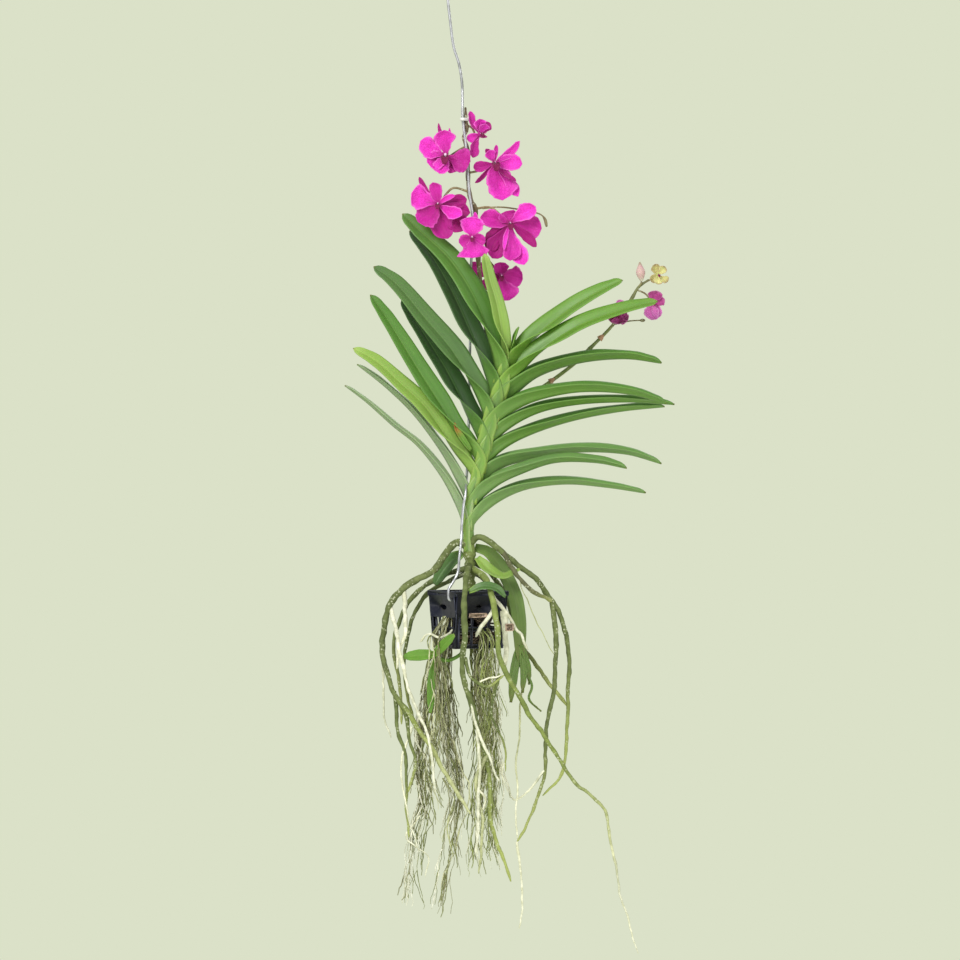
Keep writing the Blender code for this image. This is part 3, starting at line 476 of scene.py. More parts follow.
class GroupShelf:
    """Builds each shared effect once and hands it out."""

    def __init__(self) -> None:
        """Starts with no groups."""
        self.made: dict = {}

    def get(self, kind: GroupKind) -> bpy.types.NodeTree:
        """The group of that kind, built at its first use."""
        if kind not in self.made:
            builders = {
                GroupKind.GRAIN: self.grain,
                GroupKind.STREAKS: self.streaks,
                GroupKind.MOTTLE: self.mottle,
                GroupKind.SPECKS: self.specks,
            }
            self.made[kind] = builders[kind](kind.value)
        return self.made[kind]

    def start(self, name: str, inputs: dict, outputs: tuple = ("Mask",)) -> tuple:
        """An empty group whose sockets each carry one number.

        Args:
            name: Name of the group.
            inputs: Names of its inputs and their usual values.
            outputs: Names of its outputs.

        Returns:
            The group, its wrapped tree, its inputs to read and its outputs to feed.
        """
        group = bpy.data.node_groups.new(name, "ShaderNodeTree")
        for label, value in inputs.items():
            socket = group.interface.new_socket(label, in_out="INPUT", socket_type="NodeSocketFloat")
            socket.default_value = value
        for label in outputs:
            group.interface.new_socket(label, in_out="OUTPUT", socket_type="NodeSocketFloat")
        tree = NodeTree(group)
        return group, tree, tree.new("NodeGroupInput").outputs, tree.new("NodeGroupOutput").inputs

    def grain(self, name: str) -> bpy.types.NodeTree:
        """Reads the values that the mesh carries: along, across, tone and under."""
        group, tree, _, out = self.start(name, {}, ("Along", "Across", "Tone", "Under"))
        values = tree.new("ShaderNodeAttribute", attribute_name="grain")
        split = tree.new("ShaderNodeSeparateXYZ")
        tree.link(values.outputs["Vector"], split.inputs[0])
        for i in range(3):
            tree.link(split.outputs[i], out[i])
        below = tree.new("ShaderNodeAttribute", attribute_name="under")
        tree.link(below.outputs["Fac"], out["Under"])
        return group

    def streaks(self, name: str) -> bpy.types.NodeTree:
        """Fine lines that run along a blade, from its along, across and tone values."""
        inputs = {"Along": 0.0, "Across": 0.0, "Tone": 0.5, "Lines": 14.0, "Stretch": 3.0}
        group, tree, given, out = self.start(name, inputs)
        x = tree.times(given["Across"], given["Lines"])
        y = tree.times(given["Along"], given["Stretch"])
        z = tree.times(given["Tone"], 37.0)
        tree.link(tree.ramp(tree.noise(tree.vector(x, y, z), 1.0), 0.32, 0.68), out["Mask"])
        return group

    def mottle(self, name: str) -> bpy.types.NodeTree:
        """Soft patches over the surface, at a size that the material sets."""
        group, tree, given, out = self.start(name, {"Scale": 60.0, "Low": 0.35, "High": 0.65})
        place = tree.new("ShaderNodeTexCoord").outputs["Object"]
        value = tree.noise(place, given["Scale"], 4.0)
        tree.link(tree.ramp(value, given["Low"], given["High"]), out["Mask"])
        return group

    def specks(self, name: str) -> bpy.types.NodeTree:
        """Small pale flecks, scattered thinly over the surface."""
        group, tree, given, out = self.start(name, {"Scale": 400.0, "Size": 0.25})
        place = tree.new("ShaderNodeTexCoord").outputs["Object"]
        cells = tree.new("ShaderNodeTexVoronoi")
        tree.link(place, cells.inputs["Vector"])
        tree.link(given["Scale"], cells.inputs["Scale"])
        inside = tree.math("LESS_THAN", cells.outputs["Distance"], given["Size"])
        where = tree.ramp(tree.noise(place, 90.0, 2.0), 0.48, 0.6)
        tree.link(tree.times(inside, where), out["Mask"])
        return group


GROUPS = GroupShelf()


def linear(red: int, green: int, blue: int) -> tuple:
    """Shader colour from the 0 to 255 numbers that a screen shows."""
    values = [c / 255 for c in (red, green, blue)]
    return (*(v / 12.92 if v <= 0.04045 else ((v + 0.055) / 1.055) ** 2.4 for v in values), 1.0)


DRY_BROWN = linear(120, 105, 50)
LEAF_SPECKS = linear(205, 215, 175)
ROOT_SPECKS = linear(205, 208, 176)


class Finish:
    """What every material here shares: a Principled shader and the groups placed around it."""

    def begin(self, name: str, roughness: float) -> tuple:
        """A new material.

        Args:
            name: Name of the material.
            roughness: Roughness where nothing else is linked to it.

        Returns:
            The material, its wrapped tree and its Principled shader.
        """
        made = bpy.data.materials.new(name)
        made.use_nodes = True
        tree = NodeTree(made.node_tree)
        shader = made.node_tree.nodes["Principled BSDF"]
        shader.inputs["Roughness"].default_value = roughness
        return made, tree, shader

    def group(self, tree: NodeTree, kind: GroupKind, **values: object) -> bpy.types.Node:
        """Places a shared group and feeds its inputs by name."""
        made = tree.new("ShaderNodeGroup")
        made.node_tree = GROUPS.get(kind)
        for key, value in values.items():
            tree.feed(value, made.inputs[key])
        return made

    def mask(self, tree: NodeTree, kind: GroupKind, **values: object) -> bpy.types.NodeSocket:
        """Places a shared group and hands out its mask."""
        return self.group(tree, kind, **values).outputs["Mask"]

    def streaks(self, tree: NodeTree, grain: object, lines: float, stretch: float) -> bpy.types.NodeSocket:
        """The mask of lines that run along the part."""
        carried = {key: grain[key] for key in ("Along", "Across", "Tone")}
        return self.mask(tree, GroupKind.STREAKS, **carried, Lines=lines, Stretch=stretch)

    def flesh(self, shader: bpy.types.Node, specular: float, radius: tuple) -> None:
        """Sets the shader to let light into living tissue, by a radius for each colour."""
        for key, value in (("Specular IOR Level", specular), ("Subsurface Weight", 0.12),
                           ("Subsurface Scale", 0.002), ("Subsurface Radius", radius)):
            shader.inputs[key].default_value = value

    def bump(self, tree: NodeTree, shader: bpy.types.Node, height: bpy.types.NodeSocket, strength: float,
             distance: float) -> None:
        """Puts a height on the shader's normal."""
        made = tree.new("ShaderNodeBump")
        made.inputs["Strength"].default_value = strength
        made.inputs["Distance"].default_value = distance * MM
        tree.link(height, made.inputs["Height"])
        tree.link(made.outputs["Normal"], shader.inputs["Normal"])


@dataclass(frozen=True)
class LeafFinish(Finish):
    """A waxy strap leaf: darker above, lighter below, pale at its base, midrib and margins. The darker upper
    face is partly the leaf's own colour and partly painted shade on the inner faces of the folded wings.
    """

    name: str
    above: tuple
    below: tuple
    base: tuple
    tip: tuple
    margin: tuple
    roughness: float = 0.42
    tip_start: float = 0.9
    tip_share: float = 0.55

    def material(self) -> bpy.types.Material:
        """Builds the material."""
        made, tree, shader = self.begin(self.name, self.roughness)
        grain = self.group(tree, GroupKind.GRAIN).outputs
        streaks = self.streaks(tree, grain, 5.0, 2.0)
        fine = self.streaks(tree, grain, 9.0, 1.6)
        patches = self.mask(tree, GroupKind.MOTTLE, Scale=38.0, Low=0.3, High=0.7)
        specks = self.mask(tree, GroupKind.SPECKS, Scale=300.0, Size=0.06)
        # Upper and lower faces: partly the two sides' own colours, partly painted shade that darkens the
        # upper face
        colour = tree.blend(grain["Under"], self.above, self.below)
        colour = tree.cover(streaks, 0.5, colour, tree.tint(colour, (0.72, 0.76, 0.7)))
        colour = tree.cover(patches, 0.45, colour, tree.tint(colour, (1.22, 1.2, 0.95)))
        outward = tree.math("ABSOLUTE", grain["Across"])
        foot = tree.ramp(grain["Along"], 0.06, 0.26, 0.9, 0.0)
        foot = tree.times(foot, tree.ramp(outward, 0.62, 1.0, 0.2, 0.9))
        colour = tree.blend(foot, colour, self.base)
        tip = tree.ramp(grain["Along"], self.tip_start, 1.0, 0.0, self.tip_share)
        colour = tree.blend(tip, colour, self.tip)
        rim = tree.ramp(outward, 0.9, 0.98, 0.0, 0.12)
        colour = tree.blend(rim, colour, self.margin)
        rib = tree.ramp(outward, 0.0, 0.09, 0.3, 0.0)
        colour = tree.blend(rib, colour, self.margin)
        colour = tree.cover(tree.ramp(grain["Along"], 0.985, 1.0), 0.7, colour, DRY_BROWN)
        colour = tree.cover(specks, 0.35, colour, LEAF_SPECKS)
        tree.link(colour, shader.inputs["Base Color"])
        gloss = tree.ramp(patches, 0.0, 1.0, self.roughness - 0.05, self.roughness + 0.1)
        tree.link(gloss, shader.inputs["Roughness"])
        self.flesh(shader, 0.4, (0.3, 1.0, 0.2))
        self.bump(tree, shader, tree.math("ADD", fine, tree.times(streaks, 2.0)), 0.08, 0.25)
        return made


@dataclass(frozen=True)
class PetalFinish(Finish):
    """A soft petal with a net of darker veins, a paler rim and a deep throat. The darkening towards the base
    and the magenta petals' dark throat are painted shade.
    """

    name: str
    dark: tuple
    bright: tuple
    vein: tuple
    rim: tuple
    throat: tuple
    tip: tuple
    vein_share: float = 0.5
    tip_share: float = 0.0

    def net(self, tree: NodeTree, grain: object) -> bpy.types.NodeSocket:
        """The mask of the net of veins, drawn out along the petal."""
        cells = tree.new("ShaderNodeTexVoronoi", feature="DISTANCE_TO_EDGE")
        stretch = {"Across": 4.2, "Along": 7.0, "Tone": 19.0}
        drawn = [tree.times(grain[key], size) for key, size in stretch.items()]
        tree.link(tree.vector(*drawn), cells.inputs["Vector"])
        cells.inputs["Scale"].default_value = 1.4
        return tree.ramp(cells.outputs["Distance"], 0.02, 0.12, 1.0, 0.0)

    def material(self) -> bpy.types.Material:
        """Builds the material."""
        made, tree, shader = self.begin(self.name, 0.55)
        grain = self.group(tree, GroupKind.GRAIN).outputs
        # Dark to bright by the tepal's tone: painted shade on back tepals, painted light on front ones
        colour = tree.blend(grain["Tone"], self.dark, self.bright)
        # Darker purple patches: partly the petal's own blotches, partly painted shade standing for its folds
        patches = self.mask(tree, GroupKind.MOTTLE, Scale=130.0, Low=0.36, High=0.64)
        colour = tree.cover(patches, 0.4, colour, tree.tint(colour, (0.62, 0.25, 0.55)))
        # Painted shade: the petal darkens towards its base
        inner = tree.ramp(grain["Along"], 0.1, 0.8, 0.5, 0.0)
        colour = tree.blend(inner, colour, self.dark)
        streaks = self.streaks(tree, grain, 8.0, 1.6)
        colour = tree.cover(streaks, 0.12, colour, self.bright)
        net = self.net(tree, grain)
        colour = tree.cover(net, self.vein_share, colour, self.vein)
        outward = tree.math("ABSOLUTE", grain["Across"])
        rim = tree.times(tree.ramp(outward, 0.72, 1.0, 0.0, 0.6), grain["Tone"])
        colour = tree.blend(rim, colour, self.rim)
        # Throat colour near the base; the magenta petals' dark crimson here is painted shade in the flower's
        # recess
        throat = tree.ramp(grain["Along"], 0.02, 0.26, 0.8, 0.0)
        colour = tree.blend(throat, colour, self.throat)
        colour = tree.cover(tree.ramp(grain["Along"], 0.74, 1.0), self.tip_share, colour, self.tip)
        colour = tree.blend(grain["Under"], colour, tree.tint(colour, (0.9, 0.85, 0.95)))
        tree.link(colour, shader.inputs["Base Color"])
        self.flesh(shader, 0.25, (1.0, 0.25, 0.7))
        shader.inputs["Sheen Weight"].default_value = 0.15
        self.bump(tree, shader, tree.math("ADD", net, streaks), 0.3, 0.2)
        return made


@dataclass(frozen=True)
class RootFinish(Finish):
    """A root's skin: its tone runs from dark brown-green to white, with a greener or paler tip."""

    name: str
    stops: tuple
    tip: tuple
    tip_share: float = 0.55
    roughness: float = 0.7

    def material(self) -> bpy.types.Material:
        """Builds the material."""
        made, tree, shader = self.begin(self.name, self.roughness)
        grain = self.group(tree, GroupKind.GRAIN).outputs
        ramp = tree.new("ShaderNodeValToRGB")
        elements = ramp.color_ramp.elements
        while len(elements) < len(self.stops):
            elements.new(0.5)
        for element, (place, colour) in zip(elements, self.stops):
            element.position = place
            element.color = colour
        tree.link(grain["Tone"], ramp.inputs["Fac"])
        colour = ramp.outputs["Color"]
        patches = self.mask(tree, GroupKind.MOTTLE, Scale=210.0, Low=0.38, High=0.62)
        colour = tree.cover(patches, 0.6, colour, tree.tint(colour, (0.5, 0.52, 0.42)))
        wide = self.mask(tree, GroupKind.MOTTLE, Scale=34.0, Low=0.4, High=0.66)
        colour = tree.cover(wide, 0.5, colour, tree.tint(colour, (1.45, 1.4, 1.35)))
        end = tree.ramp(grain["Along"], 0.5, 1.0, 0.0, self.tip_share)
        end = tree.times(end, tree.ramp(grain["Tone"], 0.6, 0.8, 1.0, 0.0))
        colour = tree.blend(end, colour, self.tip)
        specks = self.mask(tree, GroupKind.SPECKS, Scale=480.0, Size=0.34)
        colour = tree.cover(specks, 0.62, colour, ROOT_SPECKS)
        tree.link(colour, shader.inputs["Base Color"])
        shader.inputs["Specular IOR Level"].default_value = 0.3
        self.bump(tree, shader, patches, 0.5, 0.4)
        return made


@dataclass(frozen=True)
class PlasticFinish(Finish):
    """Moulded plastic with a light film of dust."""

    name: str
    colour: tuple
    dust: tuple
    roughness: float
    dust_share: float

    def material(self) -> bpy.types.Material:
        """Builds the material."""
        made, tree, shader = self.begin(self.name, self.roughness)
        film = self.mask(tree, GroupKind.MOTTLE, Scale=120.0, Low=0.42, High=0.72)
        specks = self.mask(tree, GroupKind.SPECKS, Scale=620.0, Size=0.3)
        colour = tree.cover(film, self.dust_share, self.colour, self.dust)
        colour = tree.cover(specks, self.dust_share, colour, self.dust)
        tree.link(colour, shader.inputs["Base Color"])
        dulled = tree.ramp(film, 0.0, 1.0, self.roughness, self.roughness + 0.25)
        tree.link(dulled, shader.inputs["Roughness"])
        self.bump(tree, shader, film, 0.2, 0.15)
        return made


@dataclass(frozen=True)
class WireFinish(Finish):
    """Galvanised wire, bright with duller patches."""

    name: str
    bright: tuple
    dull: tuple

    def material(self) -> bpy.types.Material:
        """Builds the material."""
        made, tree, shader = self.begin(self.name, 0.35)
        patches = self.mask(tree, GroupKind.MOTTLE, Scale=150.0, Low=0.4, High=0.7)
        tree.link(tree.blend(patches, self.bright, self.dull), shader.inputs["Base Color"])
        tree.link(tree.ramp(patches, 0.0, 1.0, 0.28, 0.5), shader.inputs["Roughness"])
        shader.inputs["Metallic"].default_value = 0.75
        self.bump(tree, shader, patches, 0.15, 0.1)
        return made


@dataclass(frozen=True)
class BarkFinish(Finish):
    """Split bark: pale fibres along each chip over a warm brown."""

    name: str
    pale: tuple
    brown: tuple

    def material(self) -> bpy.types.Material:
        """Builds the material."""
        made, tree, shader = self.begin(self.name, 0.8)
        grain = self.group(tree, GroupKind.GRAIN).outputs
        fibres = self.streaks(tree, grain, 5.0, 1.5)
        rough = self.mask(tree, GroupKind.MOTTLE, Scale=300.0, Low=0.35, High=0.65)
        colour = tree.blend(grain["Tone"], self.brown, self.pale)
        colour = tree.cover(fibres, 0.4, colour, tree.tint(colour, (0.55, 0.45, 0.35)))
        tree.link(colour, shader.inputs["Base Color"])
        self.bump(tree, shader, tree.math("ADD", fibres, rough), 0.6, 0.5)
        return made


class LeafTone(Enum):
    """How light a leaf is. DARK and DEEP are painted shade: darker copies of the leaf colours for leaves that
    lie in shade.
    """

    PALE = LeafFinish("pale_leaf", linear(136, 168, 78), linear(138, 170, 84), linear(150, 178, 78),
                      linear(172, 196, 104), linear(176, 200, 116))
    YOUNG = LeafFinish("young_leaf", linear(102, 146, 52), linear(112, 154, 60), linear(150, 178, 78),
                       linear(120, 156, 66), linear(150, 182, 92))
    MID = LeafFinish("full_leaf", linear(86, 130, 52), linear(108, 148, 68), linear(148, 176, 76),
                     linear(98, 136, 68), linear(140, 172, 96))
    DARK = LeafFinish("shaded_leaf", linear(84, 118, 62), linear(102, 142, 70), linear(144, 172, 74),
                      linear(84, 118, 66), linear(128, 160, 100))
    DEEP = LeafFinish("deep_shaded_leaf", linear(50, 80, 38), linear(92, 132, 60), linear(144, 172, 74),
                      linear(60, 94, 48), linear(112, 146, 88))
    SOFT = LeafFinish("soft_green_leaf", linear(108, 146, 80), linear(116, 152, 86), linear(148, 176, 76),
                      linear(116, 148, 86), linear(148, 176, 112))
    TORN = LeafFinish("torn_leaf", linear(104, 146, 58), linear(112, 150, 62), linear(120, 150, 64),
                      linear(184, 92, 52), linear(150, 140, 80), 0.5, 0.45, 0.95)
    GREY = LeafFinish("old_grey_leaf", linear(140, 160, 122), linear(142, 164, 124), linear(146, 172, 84),
                      linear(146, 166, 124), linear(166, 186, 146))
    WITHERED = LeafFinish("withered_leaf", linear(104, 130, 66), linear(108, 132, 70), linear(120, 150, 64),
                          linear(112, 118, 58), linear(112, 134, 74), 0.5, 0.55, 0.8)


@dataclass(frozen=True)
class StrapLeaf:
    """One strap leaf: where it leaves the stem, its midrib's route and how the blade turns."""

    name: str
    side: int
    height: float
    route: tuple
    half_width: float
    fold: float
    roll: float
    tone: LeafTone = LeafTone.MID
    sheath: float = 22.0


LEAVES = (
    StrapLeaf("leaf_left_1", -1, -340, ((23.4, -2, -316), (12, -3, -282), (-7.2, 2, -251.2),
        (-31, 6, -228.4), (-43.5, 8, -216)), 10, 16, 60),
    StrapLeaf("leaf_left_2", -1, -354, ((17.4, 2.4, -330), (7.2, 7.5, -304), (-5, 13, -276.5),
        (-20, 16, -249.5), (-38, 18, -228)), 9.4, 16, 56, LeafTone.DEEP),
    StrapLeaf("leaf_left_3", -1, -371, ((11.2, -3, -349), (-5.2, -6, -320), (-26, -8, -295),
        (-47, -9, -270), (-64.5, -9, -256.5)), 9.2, 16, 60, LeafTone.DARK),
    StrapLeaf("leaf_left_4", -1, -388, ((5.5, 4, -366.5), (-7.5, 8, -338.5), (-22.5, 9, -313.5),
        (-34.5, 10, -295), (-44, 10, -280)), 9, 16, 56, LeafTone.DEEP),
    StrapLeaf("leaf_left_5", -1, -400, ((-2.4, -2, -382), (-15.2, -4, -359), (-32.8, -6, -330.8),
        (-53, -7, -298), (-66.8, -7, -277.5)), 8.4, 18, 58),
    StrapLeaf("leaf_left_6", -1, -412, ((-5.2, -3, -392.5), (-24.5, -5, -363), (-44, -6, -344),
        (-62.5, -6, -327.5), (-80, -6, -317.5)), 7.4, 16, 60, LeafTone.PALE),
    StrapLeaf("leaf_left_7", -1, -432, ((-2.4, 2, -415), (-14, 4, -394), (-34, 5, -367), (-55.5, 5, -346),
        (-77, 5, -329)), 6.1, 38, 9, LeafTone.GREY),
    StrapLeaf("leaf_left_8", -1, -450, ((-2, -2, -435), (-13.5, -4, -413), (-31, -4, -390.5),
        (-50, -4, -375), (-69, -4, -358), (-86, -4, -345)), 5.8, 34, 12, LeafTone.GREY),
    StrapLeaf("leaf_top_left", -1, -328, ((31.3, -5, -309), (28, -9, -286.5), (22, -14, -265.5),
        (18, -17, -247.5)), 6.2, 18, 62, LeafTone.PALE, 12.0),
    StrapLeaf("leaf_top_right", 1, -322, ((40.4, 0, -312), (43.6, -1, -301.5)), 3.2, 25, 15,
        LeafTone.YOUNG, 6.0),
    StrapLeaf("leaf_right_1", 1, -334, ((46.5, 1, -322), (57, 2, -308.5), (77, 3, -292), (97.5, 3, -278.5),
        (122, 3, -266)), 9, 22, 44, LeafTone.YOUNG, 12.0),
    StrapLeaf("leaf_right_2", 1, -348, ((44.5, -2, -336), (60, -4, -320), (88, -5, -301.5),
        (120, -5, -289.5), (148, -5, -282.5)), 9, 24, 42, LeafTone.YOUNG, 16.0),
    StrapLeaf("leaf_right_3", 1, -362, ((42.5, 2, -350), (60, 3, -337), (90, 4, -327.5), (124, 4, -324.5),
        (151.5, 4, -328)), 9.6, 48, 12),
    StrapLeaf("leaf_right_4", 1, -376, ((39.5, -3, -364), (60, -5, -355), (90, -7, -349.5),
        (124, -8, -351), (154.5, -9, -358.5)), 9.4, 46, 12),
    StrapLeaf("leaf_right_5", 1, -391, ((37.5, 2, -376), (60, 3, -364.5), (90, 3, -358.5),
        (127.5, 3, -357), (161, 3, -359)), 7.6, 42, 14),
    StrapLeaf("leaf_right_6", 1, -406, ((34, 4, -391), (56, 8, -380), (86, 10, -370.5), (120, 11, -364),
        (154, 11, -360.5)), 8, 42, 12),
    StrapLeaf("leaf_right_7", 1, -421, ((32, 4, -406), (60, 6, -398.5), (90, 7, -394.5), (124, 7, -396),
        (151.5, 7, -403.5)), 8.4, 42, 14, LeafTone.SOFT),
    StrapLeaf("leaf_right_8", 1, -434, ((27, -3, -420), (45, -5, -411), (71, -6, -402.5),
        (101, -6, -402.5), (125, -6, -407)), 8.4, 40, 14, LeafTone.SOFT),
    StrapLeaf("leaf_right_9", 1, -448, ((26.5, 1, -433), (49, 1, -422.5), (79, 1, -418.5), (110, 1, -421),
        (139.5, 1, -425.5)), 7.2, 40, 12, LeafTone.SOFT),
)


@dataclass
class LeafFan:
    """The strap leaves: each clasps the stem with a folded sheath, then opens and turns its face."""

    samples: int = 200
    rows: int = 54
    crowding: float = 0.35
    crowding_start: float = 0.3
    wing_columns: int = 6
    midrib_thickness: float = 1.5
    blade_thickness: float = 0.8
    sheath_offset: float = 2.6
    base_offset: float = 3.5
    sheath_depth: tuple = (2.9, 4.5)
    base_fold: float = 62.0
    opening: tuple = (0.05, 0.5)
    turning: tuple = (-0.05, 0.46)
    channel: float = 0.7
    wing_bow: float = 0.07
    tip_start: float = 0.945
    edge_wave: float = 0.28
    profile: tuple = ((0.0, 1.16), (0.12, 1.3), (0.3, 1.16), (0.62, 0.98), (0.85, 0.76), (0.95, 0.55),
                      (1.0, 0.4))

    def midrib(self, leaf: StrapLeaf) -> tuple:
        """The leaf's midrib from the foot of its sheath to its tip.

        Args:
            leaf: The leaf to place.

        Returns:
            Points along the midrib and the share of them that belongs to the sheath.
        """
        side = Vector((leaf.side, 0, 0))
        foot = stem_axis_at(leaf.height - leaf.sheath) + side * self.sheath_offset
        between = stem_axis_at(leaf.height - leaf.sheath * 0.45)
        middle = between + side * mix(self.sheath_offset, self.base_offset, 0.55)
        base = stem_axis_at(leaf.height) + side * self.base_offset
        route = [foot, middle, base, *vectors(leaf.route)]
        whole = smooth(route, self.samples)
        near = min(range(self.samples), key=lambda k: (whole[k] - base).length)
        last = self.samples - 1
        line = []
        for i in range(self.rows + 1):
            s = i / self.rows
            s = s + self.crowding * s * (1 - s) * max(0.0, s - self.crowding_start)
            k = min(s, 1.0) * last
            low = min(int(k), last - 1)
            line.append(whole[low].lerp(whole[low + 1], k - low))
        return line, near / last

    def half_width(self, leaf: StrapLeaf, s: float, seed: float) -> float:
        """Width of one wing at a share of the blade's length, with its rounded tip."""
        width = leaf.half_width * profile_at(self.profile, s)
        width *= 1 + 0.035 * noise.noise(Vector((s * 6, seed, 0)))
        if s > self.tip_start:
            t = (s - self.tip_start) / (1 - self.tip_start)
            width *= math.sqrt(max(1 - t * t, 0.0)) * 0.96 + 0.04
        return width

    def section(self, reach: float, width: float, fold: float, clasp: float, depth: float) -> tuple:
        """Place across and up of a point of one wing.

        Args:
            reach: Distance from the midrib along the wing.
            width: Width of the wing.
            fold: Angle of the wing above level.
            clasp: 1 where the wing wraps the stem, 0 where it is free.
            depth: Half depth of the wrap.

        Returns:
            The offsets across and up.
        """
        rounded = math.sqrt(reach * reach + self.channel ** 2) - self.channel
        bow = self.wing_bow * width * math.sin(math.pi * reach / max(width, 0.01))
        free = (reach * math.cos(fold) - bow * math.sin(fold),
                rounded * math.sin(fold) + bow * math.cos(fold))
        turn = min(reach / depth, math.pi / 2)
        beyond = max(reach - depth * math.pi / 2, 0.0)
        wrap = (depth * math.sin(turn) - 0.1 * beyond, depth * (1 - math.cos(turn)) + beyond)
        return mix(free[0], wrap[0], clasp), mix(free[1], wrap[1], clasp)

    def blade(self, leaf: StrapLeaf, seed: float) -> Growth:
        """The whole leaf as one thin closed blade.

        Args:
            leaf: The leaf to build.
            seed: Makes its small irregularities its own.

        Returns:
            The leaf's surface.
        """
        line, sheath_share = self.midrib(leaf)
        length = [0.0]
        for p, q in zip(line, line[1:]):
            length.append(length[-1] + (q - p).length)
        top = []
        for i, t in enumerate(tangents(line)):
            share = length[i] / length[-1]
            s = (share - sheath_share) / (1 - sheath_share)
            deep = Vector((0, 1, 0))
            deep = (deep - t * deep.dot(t)).normalized()
            up = deep.cross(t) * -leaf.side
            turn = math.radians(leaf.roll) * ease((s - self.turning[0]) / (self.turning[1] - self.turning[0]))
            lift = up * math.cos(turn) - deep * math.sin(turn)
            out = deep * math.cos(turn) + up * math.sin(turn)
            opened = ease((s - self.opening[0]) / (self.opening[1] - self.opening[0]))
            fold = math.radians(mix(self.base_fold, leaf.fold, opened))
            clasp = 1 - ease((s + 0.06) / 0.2)
            depth = mix(*self.sheath_depth, min(max(share / max(sheath_share, 0.01), 0.0), 1.0))
            width = self.half_width(leaf, max(s, 0.0), seed)
            wave = self.edge_wave * noise.noise(Vector((s * 5, seed, 4.0))) * ease(s * 3)
            row = []
            for j in range(-self.wing_columns, self.wing_columns + 1):
                q = j / self.wing_columns
                across, above = self.section(abs(q) * width, width, fold, clasp, depth)
                above += wave * q * abs(q) * 2
                row.append(line[i] + out * (math.copysign(across, q) if j else 0.0) + lift * above)
            top.append(row[::-leaf.side])
        return slab(top, self.thickness, (seed * 0.37) % 1.0)

    def thickness(self, s: float, q: float) -> float:
        """Thickness of the blade, fuller at the midrib."""
        return mix(self.blade_thickness, self.midrib_thickness, max(1 - abs(q) * 3.5, 0.0)) * (1 - 0.3 * s)

    def build(self) -> None:
        """Makes every strap leaf as its own piece."""
        materials = {leaf.tone: leaf.tone.value.material() for leaf in LEAVES}
        for number, leaf in enumerate(LEAVES):
            name = leaf.name.replace("leaf", "strap_leaf")
            make_piece(name, self.blade(leaf, 1.3 + number), [materials[leaf.tone]], (leaf.name,))


@dataclass
class Stem:
    """The short core between the leaf sheaths and the knobbly crown that carries the roots."""

    half_width: float = 3.1
    half_depth: float = 2.6
    crown_top: float = -452.0
    crown_rise: float = 14.0
    rows: int = 90
    sides: int = 18

    def build(self, finish: bpy.types.Material) -> None:
        """Makes the stem, ringed where old leaves stood."""
        line = smooth(vectors(STEM_AXIS[:-1]), self.rows)
        radii = []
        for i, p in enumerate(line):
            low = ease((self.crown_top - p.z) / self.crown_rise)
            ring = low * (0.35 + 0.12 * math.sin(p.z * 0.9))
            rough = mix(0.1, 0.4, low) * noise.noise(p * 0.35)
            radii.append(self.half_width * (1 + ring + rough))
        radii[-1] = self.half_width * 0.4
        surface = tube(line, radii, self.sides, 0.42, (0.0, 0.4), self.half_depth / self.half_width)
        make_piece("stem_core", surface, [finish], ("stem_and_roots",))


class RootTone(Enum):
    """Colour classes of the roots, as places on their colour ramp."""

    BROWN = 0.1
    OLIVE = 0.3
    GREEN = 0.5
    PALE = 0.75
    WHITE = 0.95


@dataclass(frozen=True)
class Root:
    """One root: its route, its radius at the start and at the tip, and its colour class."""

    route: tuple
    start: float
    end: float
    tone: RootTone = RootTone.OLIVE
    end_tone: RootTone | None = None


